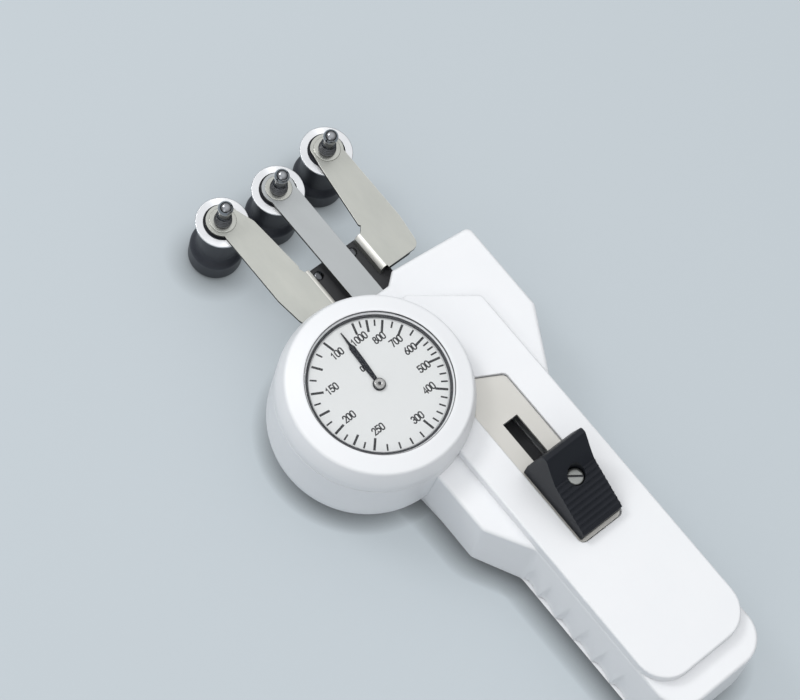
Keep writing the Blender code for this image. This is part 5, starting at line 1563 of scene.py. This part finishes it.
class HeadWork(Work):
    """Builds arms, rollers and studs."""

    FLARE_STEPS = 16
    BALL_STEPS = 24
    ROLLER_SIDES = 96
    STUD_SIDES = 64
    RIVET_SIDES = 48

    def build(self) -> None:
        """Builds the head of the gauge."""
        for plan in ARMS:
            self.outer_arm(plan)
        self.measuring_arm()
        self.roller("left", (HEAD.x - HEAD.spread, HEAD.outer_y), Body.LEFT_ROLLER, Body.CARRIAGE)
        self.roller("right", (HEAD.x + HEAD.spread, HEAD.outer_y), Body.RIGHT_ROLLER, Body.CARRIAGE)
        self.roller("center", (HEAD.x, HEAD.center_y), Body.CENTER_ROLLER, Body.MEASURING)

    @staticmethod
    def arm_outline(plan: ArmPlan) -> Outline:
        """Draws an outer arm from above.

        Args:
            plan: The arm.

        Returns:
            The outline, as distances from the head's middle.
        """
        size = HEAD
        bend_x = size.fold_x + size.fold_radius
        notch, clearance, swing = 1.0, 0.6, 1.3
        points = rounded([
            (bend_x, size.arm_rear, 0.0), (plan.outer - size.arm_rear_inset, size.arm_rear, size.arm_corner),
            (plan.outer, size.arm_rear + size.arm_corner * 4, 0.0),
        ])
        outer_angle = -math.acos((plan.outer - size.spread) / size.arm_end)
        points += arc((size.spread, size.outer_y), size.arm_end, outer_angle, size.arm_wrap, 40)
        points += [(plan.inner_front, size.inner_front_y)]
        corner = (plan.inner_rear + notch, size.fold_front + size.fold_radius + clearance)
        return points + arc(corner, notch, math.pi, math.pi * swing, 5) + [(bend_x, size.fold_front)]

    @staticmethod
    def fold_profile() -> Outline:
        """Draws the fold from the front, as distances from the head's middle.

        Returns:
            The closed profile of (x, z).
        """
        size = HEAD
        foot_top = size.foot_bottom + size.arm_thickness
        bend = (size.fold_x + size.fold_radius, size.arm_top - size.fold_radius)
        end = size.fold_x + size.fold_radius * 2
        profile = [(end, size.arm_top)] + arc(bend, size.fold_radius, QUARTER, math.pi, 10)
        profile += [(size.fold_x, foot_top), (size.fold_x + size.arm_thickness, foot_top)]
        profile += arc(bend, size.fold_radius - size.arm_thickness, math.pi, QUARTER, 10)
        return profile + [(end, size.arm_top - size.arm_thickness)]

    def outer_arm(self, plan: ArmPlan) -> None:
        """Builds one arm of the carriage with its fold, foot, rivet and a dark strip of painted shade under
        its rear edge.

        Args:
            plan: The arm.
        """
        size = HEAD
        bottom = size.arm_top - size.arm_thickness
        outline = [(plan.across(x), y) for x, y in self.arm_outline(plan)]
        arm = prism(plan.name, outline, bottom, size.arm_top)
        profile = [(plan.across(x), z) for x, z in self.fold_profile()]
        join(arm, sweep("fold", Axis.Y, profile, size.fold_rear, size.fold_front))
        low, foot_top = size.foot_bottom - OVERRUN, size.foot_bottom + size.arm_thickness
        axle = (plan.across(size.spread), size.outer_y)
        cut(arm, rod("axle", size.axle + GAP, low, size.arm_top + OVERRUN, axle))
        arm = shade(soften(arm, size.arm_edge))
        self.sheared(self.dresser.wear(arm, Slot.NICKEL, Body.CARRIAGE, plan.node))
        rivet = (plan.across(size.fold_x - size.fold_foot / 2), size.fold_front - size.fold_foot / 2)
        fold_face = size.fold_x + size.arm_thickness
        reach = sorted((plan.across(size.fold_x - size.fold_foot), plan.across(fold_face)))
        foot = block(
            f"{plan.name}_foot", (reach[0], size.foot_rear, size.foot_bottom),
            (reach[1], size.fold_front, foot_top),
        )
        cut(foot, rod("rivet", size.rivet_radius, low, foot_top + GAP, rivet))
        self.black(foot, size.arm_edge)
        self.rivet(plan, rivet, foot_top)
        # painted shade: a black strip under the arm's rear edge darkens the gap in front of the housing
        bend_x = size.fold_x + size.fold_radius
        rear_corner = plan.outer - size.arm_rear_inset - size.arm_corner
        ends = sorted((plan.across(bend_x + size.backing_inset), plan.across(rear_corner)))
        rear = size.arm_rear + GAP
        self.black(block(
            f"{plan.name}_shade_strip", (ends[0], rear, bottom - size.backing_depth),
            (ends[1], rear + size.backing_width, bottom - HAIR),
        ), size.lug_edge)
        # painted shade: a black block beside the right fold darkens the gap behind the arm
        if plan.side > 0:
            self.black(block(
                "web_shade_block", (reach[1] - size.lug_lap, size.foot_rear, size.foot_bottom),
                (size.lug_reach, size.lug_front, foot_top - HAIR),
            ), size.lug_edge)

    def black(self, piece: Piece, edge: float) -> None:
        """Softens a piece's edges and gives it to the carriage in black steel, which the strips under the arms
        and the block beside the right fold use as painted shade.
        """
        self.dresser.wear(shade(soften(piece, edge)), Slot.DARK_STEEL, Body.CARRIAGE)

    def rivet(self, plan: ArmPlan, at: Point, seat: float) -> None:
        """Sets the rivet that holds a foot on the web.

        Args:
            plan: The arm.
            at: Where it stands.
            seat: Height of the foot's face.
        """
        size = HEAD
        low = size.foot_bottom - size.arm_thickness * 2
        shank, head = size.rivet_radius - GAP, size.rivet_radius + GAP / 2
        brim, lap, tail = seat + size.rivet_brim, seat + size.rivet_lap, low - size.rivet_tail
        inward, down = size.rivet_tail_edge
        crown = [(head * cosine, brim + size.rivet_rise * sine) for cosine, sine in quarter(8)]
        profile = [
            (0.0, tail), (head - inward, tail), (head, low - down), (head, low), (shank, low),
            (shank, lap), (head, lap),
        ] + crown[:-1] + [(0.0, brim + size.rivet_rise)]
        self.turn(
            f"{plan.name}_rivet", profile, self.RIVET_SIDES, at, Slot.STEEL, Body.CARRIAGE,
            plan.node.replace("arm", "rivet"), finish=BURNISHED,
        )

    def measuring_arm(self) -> None:
        """Builds the flat middle arm."""
        size = HEAD
        bottom = size.arm_top - size.arm_thickness
        left_rear = size.x - size.measuring_left_rear
        start = -math.acos(size.measuring_right / size.arm_end)
        end = math.pi + math.acos(size.measuring_left_front / size.arm_end)
        outline = [(left_rear, size.measuring_rear), (size.x + size.measuring_right, size.measuring_rear)]
        outline += arc((size.x, size.center_y), size.arm_end, start, end, 48)
        outline += [(size.x - size.measuring_left_neck, size.neck_front), (left_rear, size.neck_rear)]
        arm = prism("center_plate_arm", outline, bottom, size.arm_top)
        join(arm, block(
            "tab", (size.tab_x - size.tab_half, size.tab_front - size.tab_thickness, size.tab_bottom),
            (size.tab_x + size.tab_half, size.tab_front, bottom + size.tab_lap),
        ))
        low, high = bottom - OVERRUN, size.arm_top + OVERRUN
        cutters = [
            rod("axle", size.axle + GAP, low, high, (size.x, size.center_y)),
            rod("pin", size.pin_hole, low, high, size.pin_place, 24),
        ]
        for y in size.guide_ys:
            slot = arc((size.guide_x, y), size.guide_half, math.pi, math.tau, 10)
            slot += arc((size.guide_x, y + size.measuring_travel), size.guide_half, 0.0, math.pi, 10)
            cutters.append(prism("guide", slot, low, high))
        arm = shade(soften(cut(arm, *cutters), size.arm_edge))
        self.sheared(self.dresser.wear(arm, Slot.NICKEL, Body.MEASURING, "measuring_arm", finish=COOL_NICKEL))

    def sheared(self, arm: Piece) -> None:
        """Darkens the upright side faces of a sheet arm and paints a highlight on the outside of its bend.

        Args:
            arm: The arm.
        """
        dark_side_slot, bend_highlight_slot = 1, 2
        steepest, flattest, upright = 0.2, 0.995, 0.3
        for finish in (DARK_SIDE_FACES, BEND_HIGHLIGHT):
            arm.data.materials.append(self.dresser.shop.made[finish])
        bottom = (HEAD.arm_top - HEAD.arm_thickness) * MM
        bend = (HEAD.arm_top - HEAD.fold_radius) * MM
        for face in arm.data.polygons:
            long_face = max(arm.data.vertices[i].co.y for i in face.vertices) - face.center.y > 2 * MM
            # painted highlight on the bend's outer faces; the upright side faces get the darker colour
            if face.center.z > bend and steepest < face.normal.z < flattest and long_face:
                face.material_index = bend_highlight_slot
            elif abs(face.normal.z) < upright and face.center.z > bottom:
                face.material_index = dark_side_slot

    def roller(self, side: str, at: Point, spin: Body, carrier: Body) -> None:
        """Builds one roller with its ring, stud, ball and washer.

        Args:
            side: Prefix of its CAD nodes.
            at: Where its axis stands.
            spin: The body that turns.
            carrier: The body that holds the stud.
        """
        size, sides = HEAD, self.ROLLER_SIDES
        self.turn(
            f"{side}_roller_body", self.roller_profile(), sides, at, Slot.BLACK, spin, f"{side}_roller",
            finish=ROLLER_MOULDING, angle=34.0,
        )
        collar = band(
            (size.ring_hole, size.ring_bottom), (size.ring_radius, size.ring_top), size.ring_round, 4,
        )
        self.turn(f"{side}_roller_collar", collar, sides, at, Slot.ALUMINIUM, spin, f"{side}_roller_ring")
        self.turn(
            f"{side}_stud", self.stud_profile(), self.STUD_SIDES, at, Slot.CHROME, carrier,
            f"{side}_axle_stud", finish=BURNISHED, angle=38.0,
        )
        self.turn(f"{side}_ball", self.ball_profile(), self.STUD_SIDES, at, Slot.CHROME, carrier, angle=38.0)
        washer = band(
            (size.axle + size.washer_gap[0], size.arm_top + size.washer_gap[1]),
            (size.washer_radius, size.arm_top + size.washer_thickness), size.washer_round, 4,
        )
        self.turn(f"{side}_washer", washer, sides, at, Slot.NICKEL, carrier, finish=TURNED_WASHER)

    @classmethod
    def roller_profile(cls) -> Outline:
        """Draws the waisted roller with its bore.

        Returns:
            The closed profile.
        """
        size, steps, chamfer = HEAD, cls.FLARE_STEPS, 0.3
        edge_middle = (size.flange_radius - size.roller_edge, size.roller_bottom + size.roller_edge)
        reach = size.flange_radius - size.waist_radius
        flare = [
            (size.waist_radius + reach * (1 + math.cos(math.pi * i / steps)) / 2,
             size.flange_top + (size.flare_top - size.flange_top) * i / steps)
            for i in range(steps + 1)
        ]
        inside = size.roller_top - size.top_web
        return arc(edge_middle, size.roller_edge, -QUARTER, 0.0, 8) + flare + [
            (size.waist_radius, size.roller_top - chamfer), (size.waist_radius - chamfer, size.roller_top),
            (size.throat, size.roller_top), (size.throat, inside), (size.bore, inside),
            (size.bore, size.roller_bottom + chamfer), (size.bore + chamfer, size.roller_bottom),
        ]

    @staticmethod
    def stud_profile() -> Outline:
        """Draws the stud with axle, ringed foot and neck.

        Returns:
            The closed profile.
        """
        size = HEAD
        chamfer = 0.3
        groove = size.axle - size.clip_groove
        groove_top = size.clip_z + size.clip_thickness + GAP
        height = size.arm_top + size.washer_thickness
        profile: Outline = [
            (0.0, size.axle_bottom), (size.axle - chamfer, size.axle_bottom),
            (size.axle, size.axle_bottom + chamfer), (size.axle, size.clip_z - GAP),
            (groove, size.clip_z - GAP), (groove, groove_top), (size.axle, groove_top), (size.axle, height),
        ]
        radius = size.stud_foot
        for _ in range(size.stud_rings):
            profile += [(radius - inward, height + up) for inward, up in size.stud_ring_form]
            height += size.stud_ring_pitch
            radius -= size.stud_ring_step
        neck = size.stud_neck
        neck_top = size.ball_z - size.ball * math.cos(math.asin(neck / size.ball))
        waist, fillet, sink = neck * size.neck_waist, size.neck_fillet, size.neck_sink
        lower, upper = size.neck_tapers
        return profile + [
            (neck + fillet, height), (neck, height + fillet), (waist, height + lower),
            (waist, neck_top - upper), (neck - sink, neck_top - sink), (0.0, neck_top - sink),
        ]

    @classmethod
    def ball_profile(cls) -> Outline:
        """Draws the polished ball on top of the stud.

        Returns:
            The closed profile.
        """
        size, steps = HEAD, cls.BALL_STEPS
        start = math.asin(size.stud_neck / size.ball)
        inward, down = size.ball_sink
        low = size.ball_z - size.ball * math.cos(start) - down
        angles = [start + (math.pi - start) * i / steps for i in range(steps)]
        profile: Outline = [(0.0, low), (size.stud_neck - inward, low)]
        return profile + [
            (size.ball * math.sin(angle), size.ball_z - size.ball * math.cos(angle)) for angle in angles
        ] + [(0.0, size.ball_z + size.ball)]


class KnobWork(Work):
    """Builds the window plate, the thumb slider and its screw."""

    RIB_STEPS = 8

    @classmethod
    def profile(cls) -> Outline:
        """Draws the knob from the side, with the ribs of its thumb face.

        Returns:
            The closed profile of (y, z).
        """
        size = KNOB
        rear = size.front - size.length
        points: Outline = [(rear, size.bottom), (size.front, size.bottom)]
        points += [
            (size.front - size.length * along, size.bottom + size.height * height)
            for along, height in size.face + size.bend
        ]
        bend_y, bend_z = points[-1]
        tail_z = size.bottom + size.tail_height
        steps = size.ribs * cls.RIB_STEPS
        for i in range(1, steps + 1):
            share = i / steps
            rib = size.rib_height * math.sqrt(max(0.0, math.sin(math.tau * share * size.ribs)))
            points.append((bend_y + (rear - bend_y) * share, bend_z + (tail_z - bend_z) * share + rib))
        return points

    def build(self) -> None:
        """Builds the window plate, the knob and its screw."""
        self.plate()
        size = KNOB
        knob = sweep("thumb_knob", Axis.X, self.profile(), -size.half, size.half)
        soften(knob, size.edge, size.edge_segments, size.edge_limit)
        join(knob, block(
            "stem", (-size.stem_half, size.stem_rear, size.stem_bottom),
            (size.stem_half, size.stem_front, size.bottom + size.stem_lap),
        ))
        top = size.bottom + size.height + OVERRUN
        seat = size.head_top - size.head_height - GAP
        cut(
            knob, rod("counterbore", size.head_radius + GAP, seat, top, size.screw_at, 64),
            rod("shank", size.shank_radius + GAP, size.stem_bottom - OVERRUN, top, size.screw_at, 32),
        )
        self.dresser.wear(shade(knob, 30.0), Slot.BLACK, Body.CARRIAGE, "thumb_slider")
        self.screw()

    def plate(self) -> None:
        """Builds the window plate with the knob's slot."""
        size = WINDOW
        low, high = size.plate_top - size.plate_thickness, size.plate_top + OVERRUN
        plate = prism("slotted_plate", Casting.window(-GAP), low, size.plate_top)
        clear = rod("clear", DIAL.drum_radius + GAP * 2, low - OVERRUN, high, DIAL_CENTRE, 160)
        slot = block(
            "slot", (-size.slot_half, size.slot_rear, low - OVERRUN), (size.slot_half, size.slot_front, high),
        )
        plate = soften(cut(plate, clear, slot), size.edge)
        self.dresser.wear(shade(plate), Slot.WINDOW, Body.HOUSING, "window_plate")

    def screw(self) -> None:
        """Builds the slotted screw and the dark block of painted shade in its slot."""
        size = KNOB
        moved = Matrix.Translation(Vector((*size.screw_at, 0.0)) * MM)
        turned = moved @ Matrix.Rotation(size.slot_angle, 4, "Z")
        head_bottom = size.head_top - size.head_height
        profile = [
            (0.0, size.shank_bottom), (size.shank_radius, size.shank_bottom), (size.shank_radius, head_bottom),
            (size.head_radius, head_bottom),
        ] + self.edged(size.head_radius, size.head_top, size.crown)
        screw = lathe("knob_screw", profile + [(0.0, size.head_top)], 64, size.screw_at)
        floor = size.head_top - size.slot_depth
        reach, half = size.head_radius + OVERRUN, size.slot_width / 2
        slot = block("slot", (-reach, -half, floor), (reach, half, size.head_top + OVERRUN))
        slot.data.transform(turned)
        cut(screw, slot)
        self.dresser.wear(shade(screw), Slot.CHROME, Body.CARRIAGE, "slider_screw", finish=SCREW_STEEL)
        # painted shade: a dark block fills the lower part of the screw's slot, which is in shade
        reach, half = size.head_radius - size.grime_gap[0], half - size.grime_gap[1]
        outline = band((-reach, -half), (reach, half), (size.grime_round,) * 4)
        top = floor + size.slot_depth * size.grime_share
        slot_shade = prism("slot_painted_shade", outline, floor + size.grime_lift, top)
        slot_shade.data.transform(turned)
        self.dresser.wear(shade(slot_shade), Slot.BLACK, Body.CARRIAGE, finish=RUBBER_AND_SHADE)


class SpringWork(Work):
    """Builds the springs."""

    def build(self) -> None:
        """Builds every spring from the wire of its CAD node."""
        for spring in SPRINGS:
            low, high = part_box(spring.node)
            mesh = self.dresser.nodes[spring.node].data.copy()
            wire = place(bpy.data.objects.new(f"{spring.node}_wire", mesh))
            self.dresser.wear(shade(wire), Slot.STEEL, spring.body, spring.node)
            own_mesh(wire)


# The studio


@dataclass(frozen=True)
class CameraSize:
    """Where the photograph was taken from."""

    place: Corner = (-314.9, -157.2, 835.4)
    right: Corner = (0.7593, -0.6320, 0.1557)
    up: Corner = (0.5516, 0.7518, 0.3614)
    back: Corner = (-0.3454, -0.1885, 0.9193)
    lens: float = 122.68
    sensor: float = 36.0
    clip_start: float = 0.01


@dataclass(frozen=True)
class Lamp:
    """One soft area light."""

    name: str
    place: Corner
    width: float
    power: float
    colour: Corner


class Studio:
    """Builds floor, light and camera."""

    FLOOR = (0.520, 0.570, 0.610)
    FLOOR_REACH = 3000.0
    FLOOR_GAP = 0.05
    FLOOR_ROUGHNESS = 0.9
    FLOOR_SPECULAR = 0.1
    BACKGROUND = (0.558, 0.617, 0.651)
    BACKGROUND_SHARE = 0.5
    # reach, lean and depth of the contact shadow painted on the floor
    CONTACT_REACH = 0.0085
    CONTACT_LEAN = (0.42, 0.30, 0.86)
    CONTACT_DEPTH = 0.8
    LAMPS = (
        Lamp("window_light", (-340.0, 690.0, 910.0), 320.0, 3.4, (1.0, 1.0, 1.0)),
        Lamp("key_softbox", (60.0, 750.0, 850.0), 280.0, 0.4, (1.0, 0.995, 0.985)),
        Lamp("fill_softbox", (-720.0, -260.0, 520.0), 520.0, 0.72, (0.97, 0.98, 1.0)),
    )
    AIM = (0.0, 0.0, 20.0)
    HORIZON = (0.15, (0.0, 0.0, 0.0, 1.0))
    ZENITH = (0.95, (1.31, 1.32, 1.335, 1.0))

    def build(self) -> None:
        """Builds the studio."""
        self.camera()
        self.floor()
        self.world()
        for lamp in self.LAMPS:
            self.light(lamp)

    def camera(self) -> None:
        """Sets the camera at the photograph's angle."""
        size = CameraSize()
        data = bpy.data.cameras.new("photo_camera")
        data.lens = size.lens
        data.sensor_width = size.sensor
        data.sensor_fit = "HORIZONTAL"
        data.clip_start = size.clip_start
        camera = place(bpy.data.objects.new("photo_camera", data))
        turn = Matrix((size.right, size.up, size.back)).transposed()
        camera.matrix_world = Matrix.Translation(Vector(size.place) * MM) @ turn.to_4x4()
        bpy.context.scene.camera = camera

    def floor(self) -> None:
        """Lays the plain pale floor, with a contact shadow painted into its colour besides the lamps' own
        shadows, open when seen from below.
        """
        shape = bmesh.new()
        lowered = Matrix.Translation((0.0, 0.0, -self.FLOOR_GAP))
        bmesh.ops.create_grid(shape, x_segments=1, y_segments=1, size=self.FLOOR_REACH, matrix=lowered)
        floor = make_object("studio_floor", shape)
        paint = bpy.data.materials.new("floor_paint")
        paint.use_nodes = True
        nodes, wiring = paint.node_tree.nodes, Wiring(paint.node_tree)
        # painted shadow: ambient occlusion, leaned to one side, darkens the floor's colour and its glow near
        # the gauge
        lean = wiring.add("CombineXYZ", dict(enumerate(self.CONTACT_LEAN)))
        contact = wiring.add(
            "AmbientOcclusion", {"Distance": self.CONTACT_REACH, "Normal": lean.outputs[0]}, samples=16,
        )
        painted_shadow = wiring.add("Math", {0: contact.outputs["AO"], 1: self.CONTACT_DEPTH}, operation="POWER")
        lit, even = (
            wiring.add("VectorMath", {0: colour, "Scale": painted_shadow.outputs[0]}, operation="SCALE").outputs[0]
            for colour in (self.FLOOR, self.BACKGROUND)
        )
        shader = nodes["Principled BSDF"]
        wiring.feed(shader, {
            "Roughness": self.FLOOR_ROUGHNESS, "Specular IOR Level": self.FLOOR_SPECULAR, "Base Color": lit,
        })
        seen = wiring.add("LightPath").outputs
        share = seen["Is Camera Ray"]
        for ray in ("Is Glossy Ray", "Is Transmission Ray"):
            share = wiring.add("Math", {0: share, 1: seen[ray]}, operation="MAXIMUM").outputs[0]
        share = wiring.add("Math", {0: share, 1: self.BACKGROUND_SHARE}, operation="MULTIPLY").outputs[0]
        glow = wiring.add("Emission", {"Color": even})
        mixed = wiring.add("MixShader", {0: share, 1: shader.outputs[0], 2: glow.outputs[0]})
        below = wiring.add("NewGeometry").outputs["Backfacing"]
        clear = wiring.add("BsdfTransparent")
        one_sided = wiring.add("MixShader", {0: below, 1: mixed.outputs[0], 2: clear.outputs[0]})
        wiring.feed(nodes["Material Output"], {"Surface": one_sided.outputs[0]})
        floor.data.materials.append(paint)

    def world(self) -> None:
        """Lights the scene from all round, brightest overhead."""
        world = bpy.data.worlds.new("studio_world")
        world.use_nodes = True
        wiring = Wiring(world.node_tree)
        direction = wiring.add("TexCoord")
        split = wiring.add("SeparateXYZ", {0: direction.outputs["Generated"]})
        ramp = wiring.add("ValToRGB", {"Fac": split.outputs["Z"]})
        for stop, (position, colour) in zip(ramp.color_ramp.elements, (self.HORIZON, self.ZENITH)):
            stop.position = position
            stop.color = colour
        wiring.feed(world.node_tree.nodes["Background"], {"Color": ramp.outputs["Color"], "Strength": 1.0})
        bpy.context.scene.world = world

    def light(self, lamp: Lamp) -> None:
        """Hangs one lamp, aimed at the gauge.

        Args:
            lamp: The lamp.
        """
        data = bpy.data.lights.new(lamp.name, "AREA")
        data.shape = "SQUARE"
        data.size = lamp.width * MM
        data.energy = lamp.power
        data.color = lamp.colour
        made = place(bpy.data.objects.new(lamp.name, data))
        made.location = Vector(lamp.place) * MM
        aim = Vector(self.AIM) * MM - made.location
        made.rotation_euler = aim.to_track_quat("-Z", "Y").to_euler()


def main() -> None:
    """Builds the scene."""
    logging.basicConfig(level=logging.INFO, format="%(name)s: %(message)s")
    for old in list(bpy.data.objects):
        bpy.data.objects.remove(old)
    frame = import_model()
    Studio().build()
    shop = FinishShop()
    shop.stock()
    slots = {part["node"]: Slot(part["material_slot"]) for part in frame["record"]["subparts"]}
    dresser = Dresser(shop, frame["nodes"], slots)
    dresser.dress_frame()
    for work in (Casting, DialWork, HeadWork, KnobWork, SpringWork):
        work(dresser).build()
    bpy.context.scene.view_settings.view_transform = "Standard"
    LOG.info("dressed %d nodes", len(frame["nodes"]))


if __name__ == "__main__":
    main()
